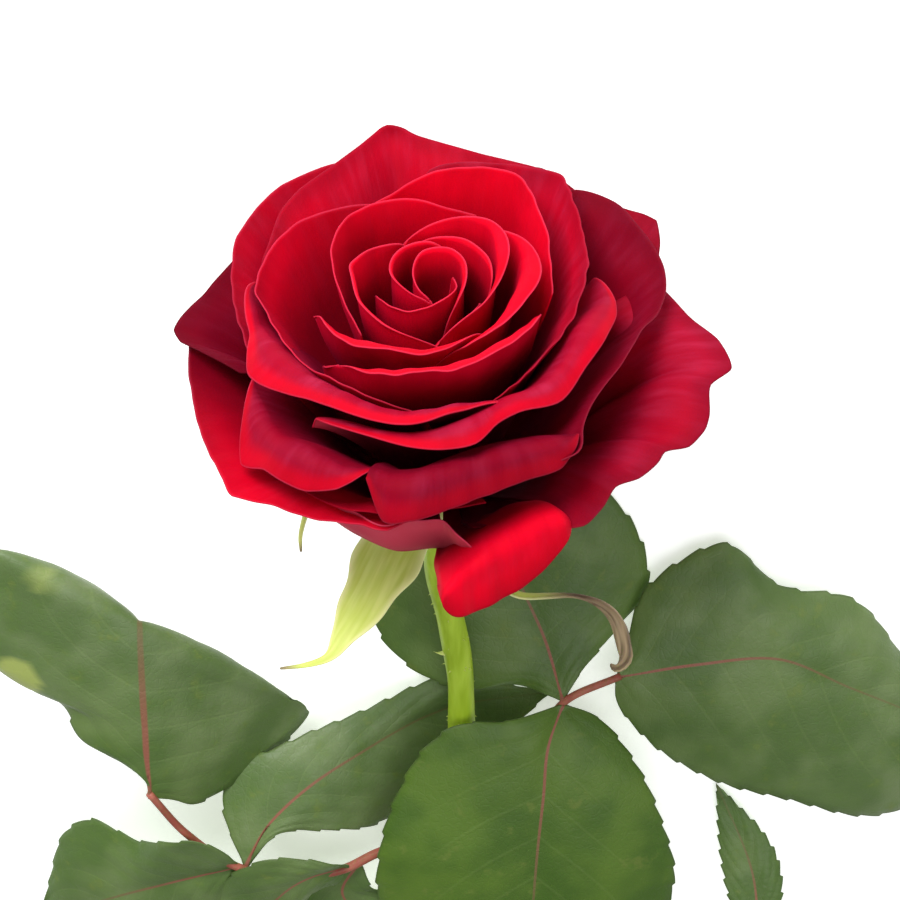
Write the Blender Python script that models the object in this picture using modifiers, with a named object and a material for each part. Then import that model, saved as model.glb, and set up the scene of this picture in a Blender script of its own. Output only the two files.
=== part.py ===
"""A cut red rose that lies on a table: an open bloom, its calyx, a prickly stem and four compound leaves.

+Z is up and the table is at Z = 0. The stem runs along Y, with the bloom at its +Y end. The routes and
outlines below are in millimetres from a point on the table under the receptacle, and the last step moves
everything so that the origin is at the bottom centre of the whole rose."""

import math
from collections import namedtuple

import bmesh
import bpy
import numpy as np

MM = 0.001

# The bloom's axis climbs from the receptacle at this angle to the table.
BLOOM_TILT = math.radians(20)
RECEPTACLE_HEIGHT = 30.0

# Stem: its centre line from under the hip to the cut end, and its radius at both.
STEM_TOP_RADIUS = 2.75
STEM_END_RADIUS = 3.4
HIP_LENGTH = 13.0
HIP_RADIUS = 6.5
STEM_ROUTE = [
    (0, -12.5, 25.45),
    (0, -26, 20.5),
    (2.5, -40, 16.8),
    (4.4, -54, 14.2),
    (4.8, -68, 12.2),
    (5, -105, 8.6),
    (3, -160, 5.2),
    (0, -235, 3.7),
    (-3, -335, 3.5),
]

# Blades.
PETAL_THICKNESS = 0.7
TOUCH = 0.25
LEAF_THICKNESS = 0.7
PETAL_COLUMNS = 9
PETAL_ROWS = 5
LIP_ROWS = 2
SMALL_LIP = 1.5
SHORTEST_LIP = 0.8
MOST_CUP = 0.3
LIP_RADIUS = 2.6
ROOT_SPREAD = (1.5, 0.14)
LEAF_TEETH = 9
TOOTH_DEPTH = 0.06

PRICKLE_LENGTH = 5.0
PRICKLE_SPACING = 23.0
GOLDEN_ANGLE = math.radians(137.5)

CORE_PROFILE = [(7, 0.15), (11, 8), (13.5, 18), (12.5, 30), (8, 37), (3, 40)]
HIP_PROFILE = [(STEM_TOP_RADIUS + 0.1, -HIP_LENGTH), (4.2, -11), (6, -7), (HIP_RADIUS, -3.5), (6, -0.15)]
SEPAL_THICKNESS = 0.8
LEAF_COLUMNS = 3
STALK_RADIUS = 1.1
PRICKLE_BASE = 5.0
PRICKLE_SINK = 0.8
FIRST_PRICKLE = 140.0
PRICKLE_FAN = math.radians(75)

PETAL_RED = (0.45, 0.0, 0.012)
CALYX_GREEN = (0.35, 0.45, 0.10)
STEM_GREEN = (0.28, 0.42, 0.06)
LEAF_GREEN = (0.06, 0.13, 0.03)

# A petal's rim goes from one side of the petal to the other. Each point is (degrees round the axis, mm out
# from it, mm up from the receptacle), and a fourth number is the mm of lip rolled outwards past it. Degrees
# count from +X towards the table side. Rise is the petal's slope at its root, and lean is how far it tips
# outwards at its rim, from 0 for upright to 90 for level. Roll is how far the lip turns over. Corner runs
# from 0 for a round rim to 1 for one that is straight between its points.
Petal = namedtuple("Petal", "rise lean roll corner rim")

HEART_PETALS = [
    Petal(
        86, 0, 60, 0.0,
        [
            (262, 3.5, 44, 0), (243, 3, 50, 0), (209, 3.5, 51, 0.4), (169, 4.2, 52, 0.6), (114, 6.2, 53, 1),
            (71, 6.6, 53, 1.2), (45, 5.6, 53, 1.4), (6, 4.6, 53, 1.4), (-24, 4.9, 52, 1.2),
            (-45, 5.2, 50, 0.8), (-64, 5.4, 47, 0.3), (-80, 5.2, 42, 0),
        ],
    ),
    Petal(
        86, 0, 60, 0.0,
        [
            (50, 3.5, 46, 0), (34, 3.6, 51, 0), (-10, 3.6, 51, 0.4), (-60, 3.7, 51, 0.7), (-90, 4.7, 51, 1),
            (-109, 6.6, 51, 1), (-125, 8.5, 51, 1), (-140, 9.8, 51, 0.8), (-161, 10.5, 50, 0.5),
            (-182, 11.2, 48, 0), (-196, 10.8, 43, 0),
        ],
    ),
    Petal(
        84, 0, 60, 0.0,
        [
            (262, 2.6, 45, 0), (243, 3.6, 50, 0), (213, 5, 51, 0.6), (186, 7.4, 53, 1), (169, 8.2, 53, 1),
            (148, 8.8, 53, 1), (131, 9.2, 53, 0.8), (98, 8.8, 53, 0.6), (73, 8.8, 51, 0), (56, 8.4, 46, 0),
        ],
    ),
    Petal(
        84, 0, 60, 0.0,
        [
            (14, 8, 44, 0), (-10, 7.8, 47.5, 0), (-35, 7.4, 47.5, 0.6), (-57, 7.2, 46.5, 0.8),
            (-74, 7.2, 45, 0.6), (-92, 6.6, 41, 0),
        ],
    ),
    Petal(
        80, 5, 60, 0.2,
        [
            (290, 11.8, 43, 0), (273, 12.2, 47, 0), (256, 12.8, 49, 0.4), (242, 14, 51, 0.8),
            (230, 14.5, 52, 1), (208, 15.3, 54, 1), (189, 15, 55, 1), (178, 15.4, 55, 0.8),
            (168, 14.3, 55, 0.6), (153, 13.4, 54, 0.4), (127, 10.8, 53, 0.2), (113, 10.6, 50, 0),
            (100, 10.4, 45, 0),
        ],
    ),
    Petal(
        82, 0, 60, 0.0,
        [
            (125, 11, 47, 0), (107, 10.8, 52, 0), (91, 10.2, 53, 0.4), (76, 10.1, 53, 0.8),
            (55, 9.2, 54, 1), (37, 9.2, 54, 1), (16, 9.4, 54, 1), (-1, 9.8, 53, 0.6), (-12, 9.4, 49, 0),
            (-22, 8.8, 44, 0),
        ],
    ),
    Petal(
        80, 5, 70, 0.0,
        [
            (136, 11.4, 46, 0), (123, 11.6, 52, 0), (101, 12.2, 54, 0.3), (83, 12.8, 55, 0.6),
            (65, 14.2, 55, 1), (52, 14.4, 55, 1.6), (39, 13.4, 55, 2.4), (24, 12, 55, 3),
            (7, 11, 55, 2.8), (-9, 10.4, 53, 2), (-28, 9.9, 52, 1.2), (-52, 9.8, 51, 0.8),
            (-72, 10.4, 50, 0.5), (-87, 10.4, 47, 0), (-101, 10.2, 42, 0),
        ],
    ),
    Petal(
        76, 10, 70, 0.0,
        [
            (72, 17, 46, 0), (56, 17, 52, 0), (39, 17, 53, 1), (21, 16.2, 54, 2.5), (6, 15.5, 54, 4),
            (-13, 15.2, 54, 4.6), (-26, 14.7, 53, 4), (-47, 15.2, 52, 3), (-69, 16.3, 51, 2),
            (-87, 17.6, 49, 0.8), (-102, 18.4, 43, 0),
        ],
    ),
    Petal(
        76, 10, 70, 0.0,
        [
            (184, 22, 44, 0), (199, 22.7, 50, 0.3), (210, 22, 51, 1.8), (224, 21, 52, 3),
            (234, 20.4, 52.5, 3.6), (247, 20.2, 53, 2.4), (259, 19.4, 53, 3), (272, 18.2, 53, 2.8),
            (285, 15.9, 52, 2), (298, 14.9, 51, 0.8), (315, 14, 47, 0), (330, 13.5, 42, 0),
        ],
    ),
    Petal(
        74, 10, 70, 0.0,
        [
            (214, 25, 44, 0), (230, 25.4, 50, 0.3), (239, 26, 52, 2), (253, 25, 53, 3),
            (269, 23.4, 53, 2.6), (277, 22.8, 53, 3.4), (288, 21.6, 53, 3), (301, 20.3, 53, 3.2),
            (316, 19.6, 52.5, 2.8), (332, 19.4, 51, 2), (345, 19.4, 48, 0.6), (358, 19, 43, 0),
        ],
    ),
    Petal(76, 10, 0, 0.0, [(69, 20, 51), (107, 21, 54), (133, 22, 55), (174, 19, 55), (220, 18, 50)]),
    Petal(70, 15, 0, 0.2, [(119, 25, 51), (90, 28, 54), (61, 30, 55), (31, 23, 55), (-5, 21, 51)]),
]

MIDDLE_PETALS = [
    Petal(
        62, 30, 0, 0.3,
        [
            (89, 35, 49), (66, 36, 51), (53, 39, 50), (34, 32, 50), (-2, 27, 51), (-40, 25, 49),
            (-70, 27, 46),
        ],
    ),
    Petal(
        66, 25, 0, 0.1,
        [(118, 26, 50), (147, 30, 52), (183, 33, 51), (212, 30, 50), (242, 28, 48), (259, 26, 45)],
    ),
    Petal(
        60, 40, 80, 0.2,
        [
            (177, 34, 48, 1), (196, 32, 49, 4), (211, 32, 50, 8), (232, 31, 50, 5), (262, 31, 50, 4),
            (289, 29, 49, 1),
        ],
    ),
    Petal(
        58, 45, 80, 0.2,
        [
            (236, 35, 46, 1), (261, 33, 47, 4), (296, 28, 48, 4), (320, 26, 48, 7), (340, 25, 48, 9),
            (358, 25, 48, 6), (375, 29, 46, 1),
        ],
    ),
    Petal(
        48, 45, 0, 0.2,
        [
            (52, 43, 44), (40, 44.5, 45), (30, 44, 45), (17, 44.5, 43), (10, 43, 42), (-9, 37, 43.5),
            (-23, 35.3, 44), (-36, 35.5, 43), (-50, 34.5, 41.5), (-64, 33, 41), (-76, 31, 40),
        ],
    ),
    Petal(
        50, 50, 0, 0.5,
        [
            (152, 36, 45), (139, 39, 46), (130, 41, 46), (117, 43.5, 46), (104, 49, 46.5), (101, 50.8, 47),
            (95, 46.7, 46.5), (87, 44.3, 46), (78, 42.5, 46), (69, 42, 46), (60, 43, 45),
        ],
    ),
    Petal(50, 50, 0, 0.3, [(112, 45, 44), (130, 46, 44), (152, 43, 44), (177, 37, 42), (198, 35, 41)]),
]

OUTER_PETALS = [
    Petal(
        42, 50, 90, 0.5,
        [
            (202, 36, 41, 0), (212, 37, 41, 4), (220, 38, 41, 11), (227, 39, 41, 8), (239, 38.5, 41, 8),
            (246, 38, 41, 6), (253, 37, 40, 1),
        ],
    ),
    Petal(
        40, 55, 90, 0.3,
        [
            (252, 37.5, 41, 3), (258, 39.5, 42, 9), (265, 39.5, 43, 9), (272, 37, 43, 9),
            (294, 34, 43, 8), (308, 34.5, 43, 7), (317, 35, 42, 1),
        ],
    ),
    Petal(
        30, 75, 0, 0.6,
        [
            (166, 44, 34), (176, 46.2, 34.5), (188, 46.3, 34.5), (205, 47.3, 33.2), (217, 49.2, 32.8),
            (224, 51, 33), (232, 46.6, 32.5), (240, 44.5, 32), (252, 42.5, 31), (258, 43, 30.5),
            (264, 40, 31),
        ],
    ),
    Petal(
        30, 75, 0, 0.5,
        [(146, 44, 38), (164, 45, 38), (177, 49, 37), (181, 47.6, 37), (187, 44.5, 38), (196, 41, 38.5), (206, 38, 37)],
    ),
    Petal(
        30, 95, 0, 0.4,
        [
            (19, 44, 38), (8, 47.4, 37), (1, 52, 36), (-6, 54.5, 35), (-10, 51, 34.5), (-17, 52, 33),
            (-20, 52, 32), (-24, 50.3, 30), (-27, 46.5, 29), (-30, 46.5, 28.5), (-36, 45.2, 28),
            (-41, 42.8, 27.5), (-47, 43.7, 26.5), (-54, 44.7, 26), (-57, 43, 25),
        ],
    ),
    Petal(
        15, 70, 85, 0.1,
        [
            (268, 47, 16, 0), (270, 48, 20, 2), (271, 48, 24, 5.5), (275.5, 46.8, 27.5, 9.5),
            (282, 44, 29, 12), (289, 42, 31, 13), (296, 42, 32, 10.5), (301, 43, 31.5, 7),
            (304, 43.5, 29, 3), (306, 43.5, 25, 0),
        ],
    ),
    Petal(5, 20, 0, 0.2, [(225, 41.5, 33), (241, 42, 33), (256, 42, 31.5), (272, 39, 31), (280, 42, 26)]),
    Petal(25, 50, 0, 0.1, [(216, 36, 32), (230, 38, 32), (255, 37, 31), (274, 35, 29), (294, 33, 27)]),
    Petal(20, 50, 0, 0.1, [(280, 36, 25), (300, 38, 24), (325, 38, 23), (348, 38, 23)]),
    Petal(35, 70, 0, 0.4, [(76, 44, 42), (64, 46, 43), (50, 45, 41), (35, 51, 40), (22, 45, 40)]),
    Petal(20, 40, 0, 0.1, [(54, 43, 38), (90, 44, 40), (126, 43, 38)]),
    Petal(8, 20, 0, 0.1, [(44, 46, 33), (66, 49, 35), (92, 46.5, 33)]),
    Petal(8, 20, 0, 0.1, [(88, 46.5, 33), (114, 49, 35), (136, 46, 33)]),
]

# A sepal's spine runs from the hip's rim to the tip, and each point is (degrees round the axis, mm out, mm
# up, mm wide). Roll turns its blade about the spine, and cup is how deep its sides curl down, from 0 for flat
# to 1 for a half round.
Sepal = namedtuple("Sepal", "roll cup spine")

SEPALS = [
    Sepal(
        0, 0.2,
        [
            (236, 3, -2, 9), (238, 13, -3, 13), (241, 21, -4.5, 13), (242, 28, -6, 10.5), (242, 34, -7.5, 7.5),
            (241.5, 38, -9, 4.6), (241.5, 42, -10, 2.2), (238, 46, -10, 1.1), (233, 49, -11, 0.4),
        ],
    ),
    Sepal(
        30, 0.8,
        [
            (300, 3, -2, 6), (298, 18, -3, 3), (300, 31, -4, 2), (309, 33, -5.5, 1.6), (318, 36, -7.5, 1.4),
            (322, 41, -9, 2.6), (322, 44.5, -11, 3.2), (320, 47, -14, 2.8), (318.5, 48.4, -17, 2.2),
            (316, 46.8, -19.5, 1.2), (317.5, 45.2, -20.5, 0.5),
        ],
    ),
    Sepal(0, 0.35, [(18, 3, -2, 6), (20, 16, -4, 8), (22, 26, -9, 4), (22, 32, -12, 0.5)]),
    Sepal(0, 0.35, [(92, 3, -2, 6), (92, 13, -4, 8), (93, 20, -9, 4), (94, 25, -14, 0.5)]),
    Sepal(0, 0.35, [(163, 3, -2, 6), (165, 18, -3, 8), (169, 27, -7, 4), (172, 34, -10, 0.5)]),
]


# ---- lines and surfaces ------------------------------------------------


def smooth_line(points, count, corner=0.0):
    """Evenly spaced samples of a smooth line through the points, mixed by corner with a straight one."""
    points = np.asarray(points, float)
    steps = np.linalg.norm(np.diff(points[:, :3], axis=0), axis=1)
    knots = np.concatenate([[0.0], np.cumsum(steps)])
    at = np.linspace(0.0, knots[-1], count)
    straight = np.column_stack([np.interp(at, knots, column) for column in points.T])
    slopes = np.gradient(points, knots, axis=0)
    left = np.clip(np.searchsorted(knots, at, "right") - 1, 0, len(knots) - 2)
    span = (knots[left + 1] - knots[left])[:, None]
    t = (at - knots[left])[:, None] / span
    rise = t * t * (3 - 2 * t)
    smooth = points[left] * (1 - rise) + points[left + 1] * rise
    smooth += span * (slopes[left] * t * (1 - t) ** 2 - slopes[left + 1] * t * t * (1 - t))
    return corner * straight + (1 - corner) * smooth


def from_polar(points):
    """(degrees, out, up, ...) rows as (x, y, up, ...) rows."""
    points = np.asarray(points, float)
    turn = np.radians(points[:, 0])
    flat = np.column_stack([points[:, 1] * np.cos(turn), points[:, 1] * np.sin(turn)])
    return np.hstack([flat, points[:, 2:]])


def bloom_to_world(points):
    """Points in the bloom's own frame, with z along its axis, as points over the table."""
    x, y, z = np.moveaxis(np.asarray(points, float), -1, 0)
    sine, cosine = math.sin(BLOOM_TILT), math.cos(BLOOM_TILT)
    return np.stack([x, y * sine + z * cosine, RECEPTACLE_HEIGHT - y * cosine + z * sine], axis=-1)


def above_table(points, clearance):
    """The points, with any that would sink into the table laid flat on it."""
    points = np.array(points)
    points[..., 2] = np.maximum(points[..., 2], clearance)
    return points


def petal_surface(petal, columns, rows, lip_rows):
    """A grid of points, from one side of the petal to the other and from its root to its rolled lip."""
    rim = smooth_line(from_polar(petal.rim), columns, petal.corner)
    out = np.hypot(rim[:, 0], rim[:, 1])
    turn = np.unwrap(np.arctan2(rim[:, 1], rim[:, 0]))
    up = rim[:, 2]
    lip = np.maximum(rim[:, 3], SHORTEST_LIP) if rim.shape[1] > 3 else np.zeros(columns)
    root_out = ROOT_SPREAD[0] + ROOT_SPREAD[1] * out.mean()
    root_rise = math.radians(petal.rise)
    lean = math.radians(petal.lean)
    chord = np.hypot(out - root_out, up)
    root = np.stack([np.full(columns, root_out), np.full(columns, 0.8)], axis=-1)
    rim_point = np.stack([out, up], axis=-1)
    root_arm = root + 0.42 * chord[:, None] * [math.cos(root_rise), math.sin(root_rise)]
    rim_arm = rim_point - 0.35 * chord[:, None] * [math.sin(lean), math.cos(lean)]
    middle = (turn.max() + turn.min()) / 2
    grid = []
    for t in np.linspace(0, 1, rows):
        profile = (1 - t) ** 3 * root + 3 * t * (1 - t) ** 2 * root_arm
        profile = profile + 3 * t * t * (1 - t) * rim_arm + t**3 * rim_point
        spread = 0.6 + 0.4 * math.sin(min(t / 0.7, 1) * math.pi / 2)
        grid.append((middle + (turn - middle) * spread, profile))
    radius = min(LIP_RADIUS, 0.4 + 0.4 * lip.max())
    for step in range(1, lip_rows + 1):
        reach = lip * step / lip_rows
        bend = np.minimum(reach / radius, math.radians(petal.roll))
        past = reach - bend * radius
        over = math.cos(lean) - np.cos(lean + bend)
        down = np.sin(lean + bend) - math.sin(lean)
        curl = np.stack([over, down], axis=-1) * radius
        flap = np.stack([np.sin(lean + bend), np.cos(lean + bend)], axis=-1) * past[:, None]
        grid.append((turn, rim_point + curl + flap))
    rows_out = [
        np.column_stack([profile[:, 0] * np.cos(a), profile[:, 0] * np.sin(a), profile[:, 1]])
        for a, profile in grid
    ]
    return np.stack(rows_out)


def blade_surface(leaflet, teeth, columns):
    """A leaflet: rows of points from its left edge over its midrib to its right edge, with toothed edges."""
    rows = 2 * teeth + 1
    rib = smooth_line(leaflet.rib, rows)
    base, tip = leaflet.rib[0], leaflet.rib[-1]
    grid = []
    for across in np.linspace(-1, 1, columns):
        outline = leaflet.left if across < 0 else leaflet.right
        edge = smooth_line([base, *outline, tip], rows)
        tooth = np.where(np.arange(rows) % 2 == 1, 1.0, 1 - TOOTH_DEPTH * (abs(across) == 1))
        grid.append(rib + (edge - rib) * (abs(across) * tooth)[:, None])
    return np.stack(grid)


# ---- Blender meshes ----------------------------------------------------


def clear_scene():
    for obj in list(bpy.data.objects):
        bpy.data.objects.remove(obj)


def new_object(name, mesh, collection):
    obj = bpy.data.objects.new(name, mesh)
    collection.objects.link(obj)
    return obj


def sheet_object(name, grid, thickness, collection):
    """A grid of points in mm as a closed blade of even thickness."""
    rows, columns = grid.shape[:2]
    faces = [
        (i * columns + j, i * columns + j + 1, (i + 1) * columns + j + 1, (i + 1) * columns + j)
        for i in range(rows - 1)
        for j in range(columns - 1)
    ]
    mesh = bpy.data.meshes.new(name)
    mesh.from_pydata((grid.reshape(-1, 3) * MM).tolist(), [], faces)
    work = bmesh.new()
    work.from_mesh(mesh)
    bmesh.ops.remove_doubles(work, verts=work.verts, dist=0.02 * MM)
    bmesh.ops.triangulate(work, faces=work.faces)
    work.to_mesh(mesh)
    work.free()
    obj = new_object(name, mesh, collection)
    solid = obj.modifiers.new("thickness", "SOLIDIFY")
    solid.thickness = thickness * MM
    solid.offset = 0
    return applied(obj)


def applied(obj):
    """The object with its modifiers made part of its mesh."""
    bpy.context.view_layer.update()
    graph = bpy.context.evaluated_depsgraph_get()
    mesh = bpy.data.meshes.new_from_object(obj.evaluated_get(graph))
    obj.modifiers.clear()
    obj.data = mesh
    return obj


def tube_object(name, points, radii, sides, collection):
    """A round tube with filled ends through the points, in mm."""
    curve = bpy.data.curves.new(name, "CURVE")
    curve.dimensions = "3D"
    curve.bevel_depth = MM
    curve.bevel_resolution = sides // 4
    curve.use_fill_caps = True
    spline = curve.splines.new("POLY")
    spline.points.add(len(points) - 1)
    for point, place, radius in zip(spline.points, points, radii):
        point.co = (*(np.asarray(place) * MM), 1)
        point.radius = radius
    guide = bpy.data.objects.new(name, curve)
    collection.objects.link(guide)
    bpy.context.view_layer.update()
    graph = bpy.context.evaluated_depsgraph_get()
    mesh = bpy.data.meshes.new_from_object(guide.evaluated_get(graph))
    work = bmesh.new()
    work.from_mesh(mesh)
    bmesh.ops.remove_doubles(work, verts=work.verts, dist=0.01 * MM)
    work.to_mesh(mesh)
    work.free()
    bpy.data.objects.remove(guide)
    return new_object(name, mesh, collection)


def fuse(name, pieces, collection, solver="EXACT"):
    """One body from the pieces, which are removed."""
    first, others = pieces[0], pieces[1:]
    tools = bpy.data.collections.new(name + "_pieces")
    bpy.context.scene.collection.children.link(tools)
    for piece in others:
        for holder in list(piece.users_collection):
            holder.objects.unlink(piece)
        tools.objects.link(piece)
    union = first.modifiers.new("union", "BOOLEAN")
    union.operation = "UNION"
    union.operand_type = "COLLECTION"
    union.collection = tools
    union.solver = solver
    applied(first)
    for piece in others:
        bpy.data.objects.remove(piece)
    bpy.data.collections.remove(tools)
    fill_pockets(first.data)
    first.name = name
    return first


def fill_pockets(mesh):
    """Drops the walls of the sealed pockets that the blades shut in between them, so that they are solid."""
    work = bmesh.new()
    work.from_mesh(mesh)
    left = set(work.verts)
    bodies = []
    while left:
        body = {left.pop()}
        edge = list(body)
        while edge:
            vert = edge.pop()
            near = {link.other_vert(vert) for link in vert.link_edges} & left
            body |= near
            left -= near
            edge.extend(near)
        bodies.append(body)
    bodies.sort(key=len)
    for body in bodies[:-1]:
        bmesh.ops.delete(work, geom=list(body), context="VERTS")
    work.to_mesh(mesh)
    work.free()


# ---- leaves ------------------------------------------------------------

# A leaflet is lofted between three lines from its stalk to its tip: its left edge, its midrib and its right
# edge, left and right as seen from above with the tip ahead. The edges start and end on the midrib's ends.
Leaflet = namedtuple("Leaflet", "left rib right")
Leaf = namedtuple("Leaf", "stalk leaflets")


def plain_leaflet(rib, width):
    """A leaflet with an even oval outline about its midrib, this wide from the midrib to each edge."""
    line = smooth_line(rib, 7)
    along = np.gradient(line, axis=0)
    across = np.cross(along, [0, 0, 1.0])
    across /= np.linalg.norm(across, axis=1)[:, None]
    half = width * np.sin(math.pi * np.linspace(0, 1, 7) ** 0.85)[:, None]
    droop = np.array([0, 0, -0.12]) * half
    return Leaflet((line - across * half + droop)[1:-1], rib, (line + across * half + droop)[1:-1])


LEAVES = {
    "leaf_upper_right": Leaf(
        [(9.5, -112, 8.5), (14, -99, 9), (21, -78, 10), (26, -63, 12), (38, -57, 11)],
        [
            Leaflet(
                [
                    (38, -55, 10), (43, -39, 5), (50, -33, 4), (59, -29, 4), (70, -38, 5),
                    (86, -42, 4), (98, -57, 2),
                ],
                [
                    (37, -57.5, 11), (54, -54, 11.5), (71, -53, 11), (86, -61, 9), (100, -69, 6),
                    (115, -80, 1),
                ],
                [(37, -62, 11), (44, -73, 11), (57, -83, 10), (78, -91, 8), (98, -96, 4)],
            ),
            Leaflet(
                [
                    (15, -61, 8), (7, -63, 7), (-4, -60, 5), (-13, -51, 3), (-15, -42, 2),
                    (-12, -31, 1), (-3, -19, 1),
                ],
                [(26, -62.5, 12), (22, -50, 7), (18, -41, 5), (13, -28, 3), (9, -12, 1)],
                [(29, -58, 10), (37, -50, 5), (44, -40, 2), (43, -32, 1.5), (36, -20, 1), (22, -12, 1)],
            ),
            Leaflet(
                [(32, -65, 13), (42, -77, 14), (47, -89, 14.5), (51, -106, 14), (44, -128, 10)],
                [
                    (26, -63, 12.5), (23, -70, 17), (22, -82, 19), (21, -94, 19.5), (20, -115, 18),
                    (20, -142, 10),
                ],
                [
                    (15, -64, 17), (3, -65, 18), (-3, -70, 18.5), (-9, -81, 19), (-13, -96, 19),
                    (-13, -110, 17), (-2, -130, 12),
                ],
            ),
        ],
    ),
    "leaf_upper_left": Leaf(
        [
            (1.4, -99, 9.5), (-13, -100, 13), (-20, -102, 16), (-42, -99.5, 19.5), (-53, -89, 22),
            (-60, -77, 25),
        ],
        [
            Leaflet(
                [
                    (-61, -72, 25), (-65, -69, 24.5), (-74, -64, 23.5), (-77, -57, 23), (-82, -52, 22.5),
                    (-89, -45, 22), (-94, -36, 22), (-93, -27, 23), (-88, -19.5, 24), (-85.5, -22.5, 20),
                    (-79, -32, 12), (-71, -42, 5),
                ],
                [
                    (-60, -78, 25), (-60, -63, 26.5), (-60, -50, 26.8), (-60, -39, 26.2),
                    (-60, -35.6, 25), (-60.5, -37, 22), (-61, -41.5, 15), (-62, -46.5, 7), (-63, -52, 1.5),
                ],
                [
                    (-55, -80.5, 22), (-52, -83, 20), (-45, -82, 16), (-36, -77, 11), (-29.5, -72, 7),
                    (-27.5, -69, 6), (-31, -63.5, 9.5), (-39, -60, 5), (-50, -56, 2.5),
                ],
            ),
            Leaflet(
                [
                    (-45, -90, 17), (-46, -85, 16), (-43, -78, 14), (-33, -73, 12), (-18, -68, 8),
                    (0, -62.5, 2.5),
                ],
                [
                    (-41, -99.6, 19.2), (-36, -90, 18), (-27, -81, 16), (-17, -76, 11.5),
                    (0, -70, 4), (24, -67, 1),
                ],
                [(-34, -92, 18), (-24, -93, 15), (-13, -96, 8), (-1, -90, 3), (12, -80, 1)],
            ),
            Leaflet(
                [(-44, -104, 18), (-52, -118, 14), (-66, -130, 8)],
                [(-42, -99.5, 19), (-56, -104, 17), (-72, -113, 12), (-88, -125, 3)],
                [
                    (-49, -93, 18.5), (-54, -92, 17), (-64, -96, 15), (-75, -93, 10),
                    (-80, -97, 8), (-85, -111, 6),
                ],
            ),
            Leaflet(
                [(-21, -105, 16), (-28, -110, 14), (-30, -126, 9)],
                [(-19, -101.5, 16), (-28, -104, 16.5), (-38, -115, 13), (-46, -138, 3)],
                [(-24, -99.5, 17), (-34, -97, 17), (-40, -101, 15.5), (-49, -111, 12), (-54, -125, 8)],
            ),
            plain_leaflet([(-17, -101.5, 14.5), (-21, -110, 13), (-15, -122, 10), (-13, -145, 3)], 12),
        ],
    ),
    "leaf_lower_right": Leaf(
        [(7.0, -168, 5.6), (26, -154, 9), (44, -143, 11), (58, -134, 11), (67, -127, 10)],
        [
            plain_leaflet([(66, -128, 10), (66, -112, 7), (60, -90, 1.5)], 8),
            plain_leaflet([(56, -135, 11), (76, -142, 10), (100, -152, 2)], 18),
            plain_leaflet([(52, -137, 11), (58, -160, 10), (66, -188, 2)], 19),
            plain_leaflet([(27, -154, 9), (34, -175, 8), (36, -202, 2)], 17),
        ],
    ),
    "leaf_lower_left": Leaf(
        [(-3.4, -215, 5), (-18, -201, 10), (-34, -190, 12), (-52, -179, 12), (-64, -172, 11)],
        [
            plain_leaflet([(-62, -173, 11), (-84, -166, 10), (-112, -160, 2)], 20),
            plain_leaflet([(-50, -180, 12), (-54, -163, 10), (-60, -142, 2)], 16),
            plain_leaflet([(-50, -180, 12), (-58, -200, 10), (-72, -228, 2)], 19),
            plain_leaflet([(-24, -197, 11), (-24, -180, 9), (-22, -158, 2)], 14),
            plain_leaflet([(-24, -197, 11), (-32, -218, 9), (-38, -246, 2)], 17),
        ],
    ),
}


# ---- the pieces --------------------------------------------------------


def settle(obj):
    """Lays what is all but on the table flat on it."""
    for vert in obj.data.vertices:
        if vert.co.z < TOUCH * MM:
            vert.co.z = 0.0
    return obj


def turned(name, profile, sides, collection):
    """A solid turned about the bloom's axis from (radius, height) points in mm."""
    angles = np.arange(sides) * 2 * math.pi / sides
    work = bmesh.new()
    rings = []
    for radius, height in profile:
        circle = np.column_stack([radius * np.cos(angles), radius * np.sin(angles), np.full(sides, height)])
        rings.append([work.verts.new(point) for point in bloom_to_world(circle) * MM])
    for low, high in zip(rings, rings[1:]):
        for i in range(sides):
            j = (i + 1) % sides
            work.faces.new((low[i], low[j], high[j], high[i]))
    work.faces.new(rings[0][::-1])
    work.faces.new(rings[-1])
    bmesh.ops.recalc_face_normals(work, faces=work.faces)
    mesh = bpy.data.meshes.new(name)
    work.to_mesh(mesh)
    work.free()
    return new_object(name, mesh, collection)


def make_bloom(collection):
    """Every petal on a small core, as one body."""
    pieces = [turned("core", CORE_PROFILE, 16, collection)]
    for number, petal in enumerate(HEART_PETALS + MIDDLE_PETALS + OUTER_PETALS):
        lips = LIP_ROWS if petal.roll and max(point[3] for point in petal.rim) > SMALL_LIP else 0
        grid = petal_surface(petal, PETAL_COLUMNS, PETAL_ROWS, lips)
        grid = above_table(bloom_to_world(grid), PETAL_THICKNESS / 2)
        pieces.append(settle(sheet_object(f"petal_{number}", grid, PETAL_THICKNESS, collection)))
    return fuse("bloom", pieces, collection)


def sepal_surface(sepal, rows, columns):
    """A pointed strip along the sepal's spine that hangs a little at both sides."""
    spine = smooth_line(from_polar(sepal.spine), rows)
    middle, half = bloom_to_world(spine[:, :3]), np.maximum(spine[:, 3] / 2, 0.5)[:, None]
    along = np.gradient(middle, axis=0)
    along /= np.linalg.norm(along, axis=1)[:, None]
    axis = bloom_to_world([0, 0, 1]) - bloom_to_world([0, 0, 0])
    side = np.cross(along, axis)
    side /= np.linalg.norm(side, axis=1)[:, None]
    normal = np.cross(side, along)
    roll = math.radians(sepal.roll)
    turned_side = side * math.cos(roll) + normal * math.sin(roll)
    normal = normal * math.cos(roll) - side * math.sin(roll)
    side = turned_side
    full = min(sepal.cup, MOST_CUP) * math.pi / 2
    bends = np.linspace(-full, full, columns)
    grid = [middle + (side * math.sin(bend) - normal * (1 - math.cos(bend))) * half / full for bend in bends]
    return np.stack(grid)


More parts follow.
